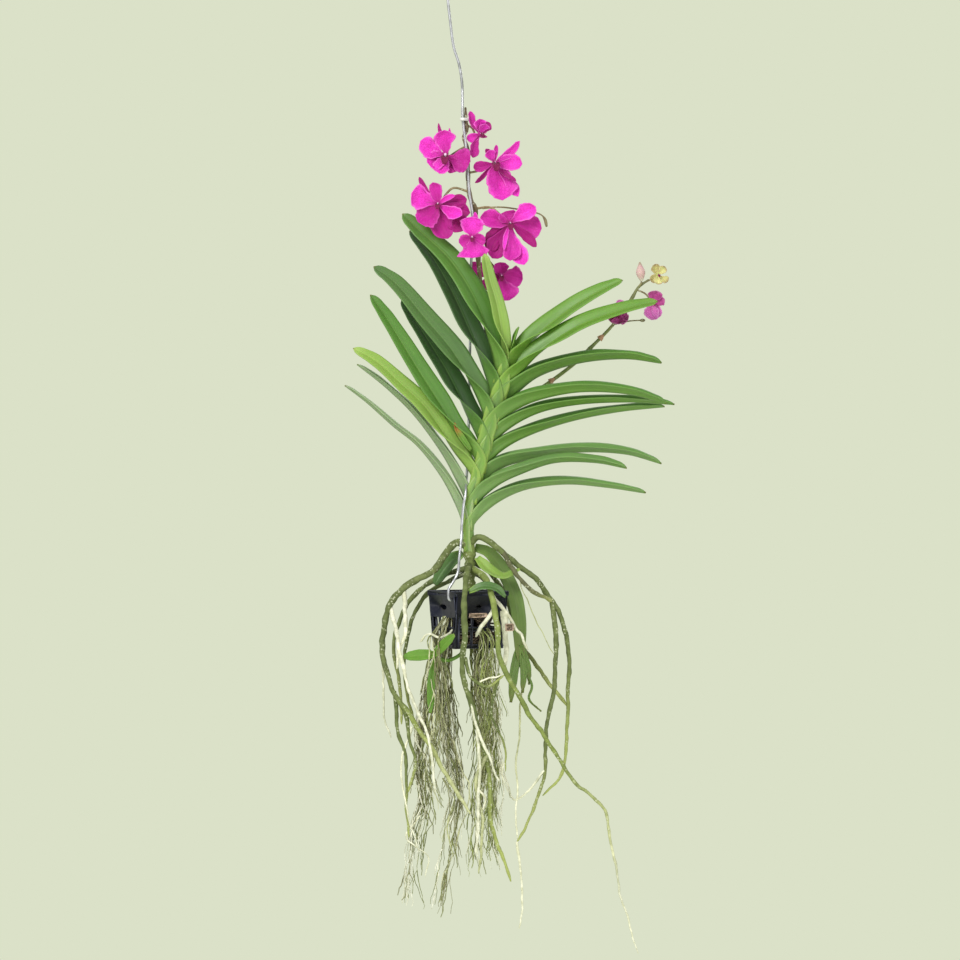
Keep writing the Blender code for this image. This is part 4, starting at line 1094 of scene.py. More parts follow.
THICK_ROOTS = (
    Root(((7, 0, -464), (16, -5, -459), (34, -6, -472), (56, -2, -490), (68, 4, -506), (78, 8, -525),
        (82, 10, -555), (80, 8, -601), (77, 4, -635), (62, 0, -653)), 2.5, 1.0, RootTone.OLIVE,
        RootTone.GREEN),
    Root(((69, 4, -508), (72, 2, -536), (70, 0, -574), (63, -2, -613), (63, -4, -637), (52, -6, -671),
        (42, -8, -688)), 2.0, 1.0),
    Root(((32, -6, -470), (43, -16, -488), (55, -14, -500), (69, 4, -508)), 1.8, 1.4, RootTone.BROWN),
    Root(((8, 2, -476), (24, 16, -488), (37, 27, -512), (46, 30, -540), (62, 24, -562), (80.5, 9, -586)),
        2.1, 1.4),
    Root(((8, 0, -482), (16, -16, -487), (22, -30, -496), (27, -36, -517), (30, -34, -548),
        (45, -30, -578), (68, -20, -615), (86, -12, -642), (99, -9, -653), (109, -8, -664),
        (114, -4, -690), (118, -1, -716), (126, 3, -748), (134, 6, -772)), 2.5, 0.5, RootTone.GREEN,
        RootTone.WHITE),
    Root(((7, 0, -480), (4.5, -20, -487), (4, -33, -497), (4, -37, -520), (2, -36, -557), (11, -30, -592),
        (22, -24, -635), (24, -20, -673), (38, -14, -716)), 2.6, 1.2, RootTone.OLIVE, RootTone.GREEN),
    Root(((6, 0, -466), (-4, -4, -464), (-20, -8, -483), (-39, -8, -496), (-52, -8, -509), (-58, -8, -536),
        (-52, -14, -568), (-34, -24, -596), (-12, -29, -632), (8, -29, -664)), 2.9, 1.3, RootTone.OLIVE,
        RootTone.PALE),
    Root(((-49, -15, -574), (-46, -20, -601), (-40, -22, -628), (-40, -21, -664), (-38, -20, -683)), 1.6,
        0.9),
    Root(((-44, -18, -583), (-38, -24, -604), (-33, -27, -628), (-38, -26, -648)), 1.5, 0.9),
    Root(((6, 2, -482), (-13, 16, -489), (-36, 28, -506), (-50, 28, -536), (-45, 20, -574),
        (-44, 12, -600)), 2.0, 1.1),
    Root(((6, 2, -486), (-8, 22, -492), (-30, 35, -509), (-42, 36, -544), (-39, 32, -581),
        (-30, 27, -619)), 1.9, 1.0),
    Root(((9, 1, -486), (18, 22, -491), (22, 38, -510), (20, 42, -550), (28, 38, -600), (20, 33, -650)),
        1.9, 1.0),
    Root(((42.6, -8, -687), (46, -6, -716), (46, -4, -735), (44, -4, -752)), 1.0, 0.6, RootTone.WHITE),
    Root(((20, -26, -621), (12, -30, -641), (17, -30, -671), (14, -28, -709)), 1.5, 0.8, RootTone.PALE),
    Root(((4, -35, -548), (9, -33, -563), (22, -32, -569), (33, -33, -561)), 1.4, 1.0),
    Root(((15, -32.8, -566), (22, -34, -563.5), (29, -34, -562), (33, -33.5, -558)), 0.7, 0.5,
        RootTone.WHITE),
    Root(((29, -33, -560), (24, -26, -590), (33, -16, -612), (34, -12, -634)), 1.1, 0.6),
)

WHITE_ROOTS = (
    Root(((-42, -8, -499), (-41, -17, -527), (-47, -19, -557)), 1.9, 1.0, RootTone.WHITE),
    Root(((-52, -8, -511), (-45, -24, -540), (-37, -31, -574), (-22, -34, -611), (-18, -33, -649)), 1.6,
        0.8, RootTone.WHITE),
    Root(((-57, -8, -530), (-58, 4, -569), (-57, 8, -596), (-52, 8, -610)), 1.0, 0.6, RootTone.WHITE),
    Root(((63, -4, -634), (52, 2, -649), (40, 6, -656), (34, 8, -641)), 1.0, 0.5, RootTone.WHITE),
    Root(((24, -16, -502), (31, -21, -511), (37, -20, -520), (41, -18, -528), (46, -17, -533),
        (51, -16, -543)), 1.5, 0.9, RootTone.WHITE),
    Root(((33, -20, -514), (33, -22, -530), (35, -21, -545), (33, -19, -560)), 2.6, 1.2, RootTone.WHITE),
    Root(((25.5, -17, -510), (19, -22, -521), (12, -24, -533)), 1.6, 1.3, RootTone.WHITE),
    Root(((-4.5, -20.5, -527), (-14, -24, -533), (-24, -20, -530), (-30, -16, -537)), 1.0, 0.7,
        RootTone.WHITE),
    Root(((7, -32.5, -578), (13, -34, -602), (22, -32, -622), (30, -28, -641)), 1.2, 0.8, RootTone.WHITE),
    Root(((12.5, -29.5, -596), (15, -32, -620), (14, -32, -652), (12, -30, -694)), 1.2, 0.9,
        RootTone.WHITE),
    Root(((-36, -24, -600), (-44, -22, -634), (-38, -22, -668), (-30, -20, -694)), 0.8, 0.5,
        RootTone.WHITE),
    Root(((45.5, 29, -538), (46, 14, -575), (43, 0, -618), (42, -4, -652), (43, -7, -686)), 0.8, 0.6,
        RootTone.PALE, RootTone.WHITE),
    Root(((44.5, -15.8, -489.5), (54, -6, -515), (64, -2, -535), (71, 2, -548)), 0.4, 0.3, RootTone.PALE),
    Root(((-30, 0, -590), (-33, -8, -610), (-24, -9, -627), (-27, -8, -640), (-19.5, -6, -655)), 0.8, 0.5,
        RootTone.WHITE),
    Root(((14, 0, -628), (13.5, -8, -645), (19.5, -10, -656), (12, -9, -679), (15, -6, -708)), 0.9, 0.5,
        RootTone.WHITE),
    Root(((-30, 2, -668), (-41, -3, -682), (-33, -5, -690), (-24, -4, -700), (-26, -3, -714)), 0.7, 0.4,
        RootTone.WHITE),
    Root(((24, 2, -600), (34, -2, -618), (31, -4, -636), (36, -3, -650)), 0.7, 0.4, RootTone.WHITE),
    Root(((-13, 2, -640), (-4, -4, -656), (-10, -5, -676), (-5, -4, -698)), 0.7, 0.4, RootTone.PALE),
)


@dataclass
class RootSystem:
    """The thick and the white roots that leave the stem and arch over the basket."""

    step: float = 2.2
    sides: int = 10
    swell: float = 0.3
    swell_pace: float = 0.16
    sway: float = 1.7
    sway_pace: float = 0.05
    kink: float = 0.55
    kink_pace: float = 0.21

    def root(self, root: Root, seed: float) -> Growth:
        """One root with its swellings and small bends.

        Args:
            root: The root to build.
            seed: Makes its irregularities its own.

        Returns:
            The root's surface.
        """
        points = vectors(root.route)
        count = max(8, round(route_length(points) / self.step))
        line = smooth(points, count)
        radii = []
        for i in range(count):
            s = i / (count - 1)
            free = ease(s * 8) * ease((1 - s) * 8 + 0.3)
            line[i] = line[i] + drift(i * self.step * self.sway_pace, seed, self.sway * free)
            line[i] = line[i] + drift(i * self.step * self.kink_pace, seed + 5, self.kink * free)
            swell = 1 + self.swell * noise.noise(Vector((i * self.step * self.swell_pace, seed, 0)))
            radii.append(mix(root.start, root.end, s) * swell * math.sqrt(min(1.0, (1 - s) * 22 + 0.15)))
        tone = root.tone.value + 0.06 * noise.noise(Vector((seed, 3.0, 9.0)))
        made = tube(line, radii, self.sides, tone)
        if root.end_tone:
            last = root.end_tone.value
            made.grain = [(s, q, mix(tone, last, ease(s * 2.4 - 1.2))) for s, q, _ in made.grain]
        return made

    def build(self, finish: bpy.types.Material) -> None:
        """Makes the thick roots and the white roots."""
        for name, roots in (("aerial_roots", THICK_ROOTS), ("white_roots", WHITE_ROOTS)):
            surface = Growth()
            for number, root in enumerate(roots):
                surface.add(self.root(root, 2.7 * number + len(name)))
            make_piece(name, surface, [finish], ("stem_and_roots",))


@dataclass(frozen=True)
class RootCluster:
    """A hanging tangle of fine roots: its middle line, its spread, how many strands and their tones."""

    middle: tuple
    spread: float
    strands: int
    tones: tuple
    radius: tuple = (0.3, 0.72)


CLUSTERS = (
    RootCluster(((-10, 2, -538), (-13, 2, -566), (-9, 2, -604), (-1.5, 0, -645), (-6, 0, -679),
        (-15, 0, -735)), 8.0, 36,
        (RootTone.BROWN, RootTone.OLIVE, RootTone.WHITE, RootTone.PALE, RootTone.WHITE)),
    RootCluster(((-12, 4, -538), (-22, 4, -566), (-30, 4, -626), (-26, 2, -656), (-34, 2, -690),
        (-39, 0, -731)), 6.5, 24, (RootTone.OLIVE, RootTone.BROWN, RootTone.WHITE)),
    RootCluster(((10, 14, -538), (13.5, 14, -560), (14, 14, -590), (17, 12, -620), (15, 10, -650),
        (9, 8, -701)), 7.0, 24, (RootTone.OLIVE, RootTone.BROWN, RootTone.WHITE, RootTone.GREEN)),
    RootCluster(((18, 0, -538), (22, 2, -556), (24, 4, -590), (27, 2, -640), (24, 2, -670), (29, 2, -701)),
        6.5, 24, (RootTone.OLIVE, RootTone.GREEN, RootTone.WHITE)),
    RootCluster(((-9, -13, -518), (-14, -17, -532), (-16, -18, -552), (-15, -14, -590), (-20, -10, -630),
        (-12, -8, -660)), 8.0, 18, (RootTone.OLIVE, RootTone.BROWN, RootTone.BROWN, RootTone.PALE)),
    RootCluster(((17, -14, -526), (20, -19, -540), (18, -18, -560), (21, -14, -590), (16, -10, -618),
        (20, -8, -640)), 8.0, 16, (RootTone.OLIVE, RootTone.BROWN, RootTone.GREEN, RootTone.PALE)),
)


PEACH_CHIPS = (((13.5, -22.5, -517), (15, 2.4, 3.2)), ((36.5, -21, -526), (7, 3.5, 5.5)))


@dataclass
class RootBall:
    """The bark in the basket and the fine roots that hang below it."""

    seed: int = 11
    step: float = 3.6
    sides: int = 5
    reaches: tuple = (3, 4, 5, 5, 6, 6)
    wander: float = 3.6
    wander_pace: float = 0.2
    kink: float = 1.3
    kink_pace: float = 0.83
    branch_every: int = 8
    twig_points: int = 10
    twig_sides: int = 4
    chip_count: int = 330
    chip_bevel: float = 0.5
    chip_margin: float = 4.0
    chip_wall_gap: float = 4.2

    def strand(self, cluster: RootCluster, index: int, rng: random.Random) -> list:
        """One fine root and its side rootlets.

        Args:
            cluster: The tangle it belongs to.
            index: Its number in the tangle.
            rng: Source of its small differences.

        Returns:
            The surfaces of the root and its rootlets.
        """
        angle = GOLDEN_ANGLE * index
        reach = math.sqrt((index + 0.5) / cluster.strands) * cluster.spread
        keep = rng.choice(self.reaches)
        route = []
        for k, p in enumerate(cluster.middle[:keep]):
            angle += rng.uniform(-1.1, 1.1)
            far = reach * (0.5 if k == 0 else rng.uniform(0.5, 1.3))
            offset = Vector((math.cos(angle) * far, math.sin(angle) * far, rng.uniform(-7, 7) if k else 0))
            route.append(Vector(p) + offset)
        count = max(8, round(route_length(route) / self.step))
        line = smooth(route, count)
        thick = rng.uniform(*cluster.radius)
        seed = rng.uniform(0, 50)
        for i in range(count):
            line[i] = line[i] + drift(i * self.wander_pace, seed, self.wander * ease(i / 5))
            line[i] = line[i] + drift(i * self.kink_pace, seed + 9, self.kink * ease(i / 4))
        tone = rng.choice(cluster.tones).value
        parts = [tube(line, [thick * mix(1.0, 0.5, i / count) for i in range(count)], self.sides, tone)]
        last = self.twig_points - 1
        for i in range(self.branch_every, count - 3, self.branch_every):
            turn = rng.uniform(0, 2 * math.pi)
            away = Vector((math.cos(turn), math.sin(turn), -0.6))
            far = rng.uniform(9, 26)
            twig = [line[i] + away * (far * 0.36 * ease(k / last)) - Vector((0, 0, far * k / last))
                    + drift(k * 0.7, seed + i, 1.6 * k / last) for k in range(self.twig_points)]
            radii = [thick * mix(0.8, 0.4, k / last) for k in range(self.twig_points)]
            parts.append(tube(twig, radii, self.twig_sides, tone))
        return parts

    def build(self, finish: bpy.types.Material, bark: bpy.types.Material, basket: "Basket") -> None:
        """Makes the fine roots and the basket's filling.

        Args:
            finish: Material of the fine roots.
            bark: Material of the bark chips.
            basket: The basket that holds the filling.
        """
        rng = random.Random(self.seed)
        surface = Growth()
        for cluster in CLUSTERS:
            for index in range(cluster.strands):
                for part in self.strand(cluster, index, rng):
                    surface.add(part)
        make_piece("fine_roots", surface, [finish], ("root_ball",))
        chips = Growth()
        for centre, size in PEACH_CHIPS:
            chips.add(block(Vector(centre), (*basket.axes(), UP), size, self.chip_bevel, 1.0))
        for _ in range(self.chip_count):
            a, b = rng.uniform(-0.96, 0.96), rng.uniform(-0.96, 0.96)
            z = rng.uniform(basket.bottom + self.chip_margin, basket.top - self.chip_margin)
            half = basket.side_at(z) / 2 - self.chip_wall_gap
            turn, tilt = rng.uniform(0, math.pi), rng.uniform(-0.7, 0.7)
            u = Vector((math.cos(turn) * math.cos(tilt), math.sin(turn) * math.cos(tilt), math.sin(tilt)))
            v = u.cross(UP).normalized()
            size = (rng.uniform(5, 10), rng.uniform(2.5, 5), rng.uniform(1.2, 2.4))
            # Chips keep to the darker half of the bark's tones: partly the bark's own brown, partly painted
            # shade so the inside of the basket reads dark between the slats
            chips.add(block(basket.point(a * half, b * half, z), (u, v, u.cross(v)), size, self.chip_bevel,
                            rng.uniform(0, 0.5)))
        make_piece("bark_filling", chips, [bark], ("root_ball",))


@dataclass
class Basket:
    """The slatted square basket, one corner turned to the front."""

    centre: tuple = (6.0, 0.0)
    turn: float = 27.6
    top: float = -499.0
    bottom: float = -542.0
    top_side: float = 46.0
    bottom_side: float = 38.0
    wall: float = 2.2
    rim_height: float = 4.0
    slat_height: float = 3.2
    slats: int = 4
    bars: int = 2
    bar_width: float = 2.2
    post: float = 4.4
    panel_foot: float = -519.0
    slat_ends: tuple = (0.01, 0.99)
    panel_ends: tuple = (0.03, 0.97)
    floor_bar: tuple = (2.4, 2.0)
    bevel: float = 0.45

    def axes(self) -> tuple:
        """The directions along the basket's sides, right and left of its front corner."""
        turn = math.radians(self.turn)
        return Vector((math.cos(turn), math.sin(turn), 0)), Vector((-math.sin(turn), math.cos(turn), 0))

    def side_at(self, z: float) -> float:
        """Outer side of the tapered basket at a height."""
        return mix(self.bottom_side, self.top_side, (z - self.bottom) / (self.top - self.bottom))

    def point(self, a: float, b: float, z: float) -> Vector:
        """A point at a and b along the basket's sides from its centre."""
        right, left = self.axes()
        return Vector((*self.centre, z)) + right * a + left * b

    def wall_bar(self, wall: int, start: float, end: float, low: float, high: float, depth: float) -> Growth:
        """A bar of one wall.

        Args:
            wall: Which wall, 0 to 3 round the basket.
            start: Where it begins along the wall, 0 to 1.
            end: Where it ends along the wall.
            low: Height of its lower side.
            high: Height of its upper side.
            depth: Its thickness.

        Returns:
            The bar, leaning with the wall.
        """
        ends = []
        for z in (low, high):
            half = self.side_at(z) / 2
            for along, inset in ((start, 0.0), (end, 0.0), (start, depth), (end, depth)):
                a, b = -half + 2 * half * along, -half + inset
                for _ in range(wall):
                    a, b = -b, a
                ends.append(self.point(a, b, z))
        centre = sum(ends, Vector()) / 8
        run = (ends[1] + ends[5] - ends[0] - ends[4]) / 2
        rise = (ends[4] + ends[5] - ends[0] - ends[1]) / 2
        inward = ends[2] - ends[0]
        run_axis, in_axis = run.normalized(), inward.normalized()
        rise_axis = run_axis.cross(in_axis)
        if rise_axis.z < 0:
            rise_axis = -rise_axis
        rise_axis = (rise_axis + in_axis * (rise.dot(in_axis) / rise.length)).normalized()
        return block(centre, (run_axis, in_axis, rise_axis), (run.length, depth, rise.length), self.bevel)

    def build(self, finish: bpy.types.Material) -> None:
        """Makes rim, slats, posts, bars and floor."""
        surface = Growth()
        post = self.post / self.top_side
        bar = self.bar_width / 2 / self.top_side
        step = (self.top - self.bottom - self.rim_height) / (self.slats - 1)
        for wall in range(4):
            surface.add(self.wall_bar(wall, 0, 1, self.top - self.rim_height, self.top, self.wall))
            for i in range(self.slats - 1):
                low = self.bottom + step * i
                surface.add(self.wall_bar(wall, *self.slat_ends, low, low + self.slat_height,
                                          self.wall * 0.9))
            surface.add(self.wall_bar(wall, 0.0, post, self.bottom, self.top - 0.3, self.post))
            for i in range(self.bars):
                middle = (i + 1) / (self.bars + 1)
                surface.add(self.wall_bar(wall, middle - bar, middle + bar, self.bottom + 0.3, self.top - 0.5,
                                          self.wall * 0.8))
            surface.add(self.wall_bar(wall, *self.panel_ends, self.panel_foot, self.top - 1, self.wall * 0.6))
        right, left = self.axes()
        floor = Vector((*self.centre, self.bottom + 1.2))
        for u, v in ((right, left), (left, right)):
            surface.add(block(floor, (u, v, UP), (self.bottom_side - 1.2, *self.floor_bar), self.bevel))
        make_piece("slatted_basket", surface, [finish], ("basket",))


@dataclass(frozen=True)
class Tepal:
    """One petal or sepal: its tip from the flower's centre, its width and how it bends."""

    tip: tuple
    width: float
    # A tepal's tone, dark to bright, is mostly painted shade and light: low for tepals that lie behind
    # others, high for those facing the front
    tone: float = 0.6
    cup: float = 0.18
    curl: float = 0.0
    twist: float = 0.0


@dataclass(frozen=True)
class Bloom:
    """One flower: its centre, the way it faces, its tepals and its lip."""

    name: str
    centre: tuple
    facing: tuple
    tepals: tuple
    lip: float = 7.0
    scale: float = 1.0
    column: float = 0.5

    def front(self) -> Vector:
        """Unit direction that the flower faces."""
        return Vector(self.facing).normalized()


BLOOMS = (
    Bloom("bloom_upper_left", (-10.5, -9, -174), (-0.15, -1, 0.1), (Tepal((9, 1, -11), 12, 0.2),
        Tepal((-14, 0, -4.5), 15, 0.75), Tepal((-5, -2, -13), 13, 0.85, 0.2),
        Tepal((-19, -3, 11), 15, 0.95, 0.2), Tepal((18, -2, -4), 19, 0.25, 0.12, 1.0),
        Tepal((-1.5, -3, 19), 15, 0.7, 0.3), Tepal((-6, 2, 25), 3.4, 0.1, 0.5, 2.0, 40),
        Tepal((2.5, 1, 21), 2.4, 0.6, 0.4)), 7.0, 1.0, 0.9),
    Bloom("bloom_top", (15.5, -2, -157), (0.5, -0.8, 0.1), (Tepal((-7.6, 2, 17.4), 6, 0.4, 0.5),
        Tepal((-0.5, -3, 11), 10, 1.0, 0.3), Tepal((4, -4, 7), 8, 0.9, 0.2),
        Tepal((8.5, 1, 8), 7, 0.1, 0.5, 4.0, 30), Tepal((4.7, -5, -2.5), 4, 0.0, 0.3),
        Tepal((-10, 0, -3.5), 7, 0.7, 0.3), Tepal((-5, -1, -17.5), 8, 0.3, 0.4, 1.0)), 3.5),
    Bloom("bloom_upper_right", (26, -8, -179), (0.2, -1, 0.1), (Tepal((17.5, 0, -25), 9, 1.0, 0.2),
        Tepal((18.6, -2, 16), 6, 0.75, 0.5), Tepal((20.5, -2, -1), 13, 0.85, 0.2),
        Tepal((1.3, 1, 13.5), 3, 0.4, 0.5), Tepal((-4.3, -1, 9), 8, 0.55, 0.3),
        Tepal((-16, 2, -3), 8, 0.2, 0.5, 2.0), Tepal((-6.5, 1, 10.5), 5, 0.1, 0.4),
        Tepal((6, -4, -28), 22, 0.7, 0.16), Tepal((16, -4, -14), 5, 0.0, 0.5, -2.0, 40),
        Tepal((-14.4, 1, -15), 4, 0.15, 0.6, 3.0, 50))),
    Bloom("bloom_left", (-16.5, -10, -210), (-0.1, -1, 0.05), (Tepal((24, 3, -6), 12, 0.05, 0.2),
        Tepal((21.5, 4, 4), 10, 0.0, 0.2), Tepal((-14, -2, 20), 3.6, 0.1, 0.5),
        Tepal((7.5, 1, -25.5), 17, 0.15, 0.2), Tepal((-15, 0, -13), 19, 0.35, 0.2),
        Tepal((-4, -1, 16), 10, 0.45, 0.2), Tepal((20, 1.5, -19), 15, 0.0, 0.2),
        Tepal((-19.5, -3, 8), 18, 0.95, 0.22), Tepal((18, -8, -8.5), 10, 1.0, 0.6),
        Tepal((12.5, -2, 6.5), 4, 0.9, 0.4)), 4.0),
    Bloom("bloom_middle", (9, -12, -235), (0.0, -1, -0.1), (Tepal((2.2, 2, 19), 4, 0.8, 0.4),
        Tepal((-9.5, 1, -4), 10, 0.4), Tepal((10, 1, -3), 10, 0.4), Tepal((0, -2, 15), 18, 1.0, 0.24),
        Tepal((0.5, -4, -15.5), 23, 0.72, -0.2)), 3.0),
    Bloom("bloom_right", (37.5, -4, -224), (0.1, -1, 0.0), (Tepal((-17.5, 2, -19), 14, 0.0, 0.2),
        Tepal((23.5, 3, -4), 17, 0.35, 0.2), Tepal((-13, 1, -26), 15, 0.1, 0.2),
        Tepal((19.5, 1, -17.5), 7, 0.0, 0.4, -2.0), Tepal((-3, 1, 9), 15, 0.3, 0.2),
        Tepal((-22, -1, 4.5), 15, 0.5, 0.24), Tepal((19, -5, 12), 12, 1.0, 0.4),
        Tepal((10.5, -4, -31), 14, 0.95, 0.24), Tepal((0, -5, -28), 14, 0.5, 0.2),
        Tepal((-4.5, -6, -20), 3, 1.0, 0.5)), 5.0),
    Bloom("bloom_lower", (31, 19, -262), (0.1, -1, -0.1), (Tepal((-24, 1, 8), 11, 0.05, 0.2),
        Tepal((-15, 2, -9), 9, 0.05, 0.2), Tepal((-1, 2, 10), 13, 0.3), Tepal((16, 0, -3), 15, 0.35, 0.2),
        Tepal((6, -3, -18.5), 19, 0.45, 0.2)), 4.0),
)

YOUNG_BLOOMS = (
    Bloom("young_bloom_end", (149, 8, -262), (0.3, -0.9, 0.1), (Tepal((-2, 0, 8), 7, 0.1, 0.4),
        Tepal((5, -2, 6), 6, 0.8, 0.4), Tepal((7, -2, -5), 6, 0.3, 0.4), Tepal((0, -3, -7), 7, 1.0, 0.4),
        Tepal((-5, -1, -5), 6, 0.7, 0.4)), 2.0, 0.5),
    Bloom("young_bloom_right", (146, 13, -283), (0.2, -0.9, 0.0), (Tepal((2, -2, 9), 11, 0.15, 0.4),
        Tepal((-2, -3, -12.5), 12, 1.0, 0.4), Tepal((3, 0, -11), 8, 0.9, 0.3),
        Tepal((8, 0, 3), 7, 0.1, 0.3)), 2.0, 0.5),
    Bloom("young_bloom_left", (119, 7, -292), (0.0, -0.9, -0.3), (Tepal((-7, -1, -4), 9, 0.0, 0.5),
        Tepal((7, -1, -4), 9, 0.3, 0.5), Tepal((0, -3, -7), 11, 0.1, 0.4), Tepal((2, 1, 11), 8, 1.0, 0.4)),
        2.0, 0.5),
)


@dataclass
class BloomMaker:
    """Builds the flowers petal by petal."""

    rows: int = 20
    columns: int = 14
    thickness: float = 0.4
    bow: float = 0.09
    bend: float = 0.07
    ruffle: float = 0.3
    ragged: float = 0.3
    fold: float = 0.12
    tip_start: float = 0.9
    tip_length: float = 0.1
    lip_rows: int = 9
    lobe_rows: int = 6
    profile: tuple = ((0.0, 0.16), (0.14, 0.3), (0.34, 0.74), (0.58, 1.0), (0.78, 0.95), (0.92, 0.66),
                      (1.0, 0.2))

    def tepal(self, bloom: Bloom, tepal: Tepal, seed: float) -> Growth:
        """One petal or sepal.

        Args:
            bloom: The flower that it grows on.
            tepal: Its form.
            seed: Makes its ruffle its own.

        Returns:
            The blade's surface.
        """
        facing = bloom.front()
        tip = Vector(tepal.tip)
        along = tip.normalized()
        face = (facing - along * facing.dot(along)).normalized()
        side = along.cross(face)
        centre = Vector(bloom.centre) - facing * (0.4 * bloom.scale)
        length = tip.length
        widest = 1.05 + 0.3 * math.sin(seed * 5.1)
        sway = side * (length * self.bend * math.sin(seed * 3.7))
        top = []
        for i in range(self.rows + 1):
            s = i / self.rows
            width = tepal.width * 0.5 * profile_at(self.profile, s ** widest)
            if s > self.tip_start:
                width *= math.sqrt(max(1 - ((s - self.tip_start) / self.tip_length) ** 2, 0.02))
            turn = math.radians(tepal.twist) * s
            across = side * math.cos(turn) + face * math.sin(turn)
            rise = face * math.cos(turn) - side * math.sin(turn)
            middle = centre + tip * s + sway * math.sin(s * math.pi)
            middle -= face * (math.sin(s * math.pi) * length * self.bow + tepal.curl * s ** 3)
            row = []
            for j in range(self.columns + 1):
                q = 2 * j / self.columns - 1
                rim = math.copysign(seed + 1, q)
                coarse = noise.noise(Vector((s * 3.4, rim, 2.0)))
                fine = noise.noise(Vector((s * 9, rim, 5.0)))
                uneven = 1 + self.ragged * (coarse + 0.4 * fine) * abs(q)
                lift = tepal.cup * width * (q * q - 0.3) * ease(s * 3)
                wave = self.ruffle * width * noise.noise(Vector((s * 4.6, rim, 7.0))) * q * q * ease(s * 2)
                dent = 0.16 * width * noise.noise(Vector((s * 2.6, q * 1.6, seed)))
                crease = -self.fold * width * math.exp(-(q * 4) ** 2) * ease(s * 4)
                row.append(middle + across * (q * width * uneven) + rise * (lift + wave + dent + crease))
            top.append(row)
        return slab(top, same_thickness(self.thickness), tepal.tone)

    def lip(self, bloom: Bloom) -> Growth:
        """The lip: a strap that bends down in front, with two small lobes beside the mouth."""
        facing = bloom.front()
        centre = Vector(bloom.centre)
        side = facing.cross(UP).normalized()
        rise = facing * 0.4 + Vector((0, 0, 0.8))
        size = bloom.lip
        made = Growth()
        top = []
        for i in range(self.lip_rows):
            s = i / (self.lip_rows - 1)
            width = size * 0.3 * (0.5 + 0.9 * math.sin(math.pi * (s * 0.8 + 0.12)))
            drop = Vector((0, 0, size * (0.1 + 0.95 * s * s)))
            middle = centre + facing * (1.2 + size * 0.75 * math.sin(s * 1.5)) - drop
            row = []
            for j in range(self.lip_rows):
                q = 2 * j / (self.lip_rows - 1) - 1
                row.append(middle + side * (q * width) + rise * (abs(q) ** 2 * width * 0.45))
            top.append(row)
        made.add(slab(top, same_thickness(self.thickness), 0.0))
        for way in (-1, 1):
            lobe = []
            for i in range(self.lobe_rows):
                s = i / (self.lobe_rows - 1)
                width = size * 0.2 * math.sin(math.pi * (0.15 + 0.8 * s))
                middle = centre + facing * (1.0 + size * 0.3) + side * (way * size * (0.16 + 0.16 * s))
                middle += Vector((0, 0, size * (0.42 * s - 0.12)))
                lobe.append([middle + facing * (q * width) for q in (-1, -0.5, 0, 0.5, 1)])
            made.add(slab(lobe, same_thickness(self.thickness), 0.1))
        return made

    def column(self, bloom: Bloom) -> Growth:
        """The pale column above the mouth."""
        facing = bloom.front()
        centre = Vector(bloom.centre)
        k = bloom.scale * bloom.column
        cap = [centre - facing * (0.5 * k), centre + facing * (1.6 * k) + Vector((0, 0, 0.5 * k)),
               centre + facing * (3.2 * k) + Vector((0, 0, 0.5 * k)), centre + facing * (3.9 * k)]
        return tube(smooth(cap, 7), [1.2 * k, 1.5 * k, 1.6 * k, 1.65 * k, 1.6 * k, 1.3 * k, 0.6 * k], 12, 1.0)

    def hub(self, bloom: Bloom) -> Growth:
        """The flower's back, where the tepals meet the stalk."""
        facing = bloom.front()
        centre = Vector(bloom.centre)
        k = bloom.scale
        line = [centre - facing * (4.8 * k), centre - facing * (3.2 * k), centre - facing * (1.6 * k), centre]
        return tube(line, [0.9 * k, 1.3 * k, 1.9 * k, 1.6 * k], 12, 0.4, (0.1, 0.3))

    def build(self, petal: bpy.types.Material, young: bpy.types.Material, lilac: bpy.types.Material,
              column: bpy.types.Material, lip: bpy.types.Material) -> None:
        """Makes every open flower.

        Args:
            petal: Material of the magenta petals.
            young: Material of the yellow-green young flower.
            lilac: Material of the other young flowers.
            column: Material of the columns.
            lip: Material of the lips.
        """
        for number, bloom in enumerate(BLOOMS + YOUNG_BLOOMS):
            surface = Growth()
            for k, tepal in enumerate(bloom.tepals):
                surface.add(self.tepal(bloom, tepal, number * 3.1 + k))
            surface.add(self.hub(bloom))
            surface.add(self.lip(bloom), 1)
            surface.add(self.column(bloom), 2)
            first = petal
            if bloom in YOUNG_BLOOMS:
                first = young if bloom.name == "young_bloom_end" else lilac
            make_piece(bloom.name + "_petals", surface, [first, lip, column], (bloom.name,))


MAIN_SPIKE = (
    (25.4, 3.9, -366), (26.3, 7.5, -362), (26.6, 11, -356), (25.6, 14.5, -345), (23.6, 17, -328),
    (20.5, 17, -308), (15, 10.5, -265), (12.3, 5, -230), (11.5, 2, -213), (8.5, 0.6, -207),
    (6.8, 0, -200), (6, 0, -190), (6, 0, -172), (4.6, 0, -165), (2.6, 0.6, -159), (5, 0.4, -154),
    (4.5, 0, -148), (4.1, 0, -137),
)
SECOND_SPIKE = (
    (18.8, 3.9, -390), (19.4, 7, -386), (21, 11, -380), (26, 15.5, -373), (37, 17, -362),
    (64, 16, -345), (88, 15, -327), (99, 14.6, -316), (115.5, 14, -299), (129, 13, -280),
    (134, 12, -271.5), (141.8, 10, -265.5),
)
MAIN_STALKS = (
    ((4.6, 0, -166), (-1, 0, -169), "bloom_upper_left"),
    ((4.6, 0.2, -150), (9, 3, -152), "bloom_top"),
    ((6, 0, -186), (15, 0, -184), "bloom_upper_right"),
    ((6.6, 0, -200), (-6, 1, -197.5), "bloom_left"),
    ((11.7, 3, -218), (12.6, -1, -226), "bloom_middle"),
    ((11.5, 2, -212.5), (24, 5, -212), "bloom_right"),
    ((13.2, 7, -246), (17, 18, -246), (24, 26, -253), "bloom_lower"),
)
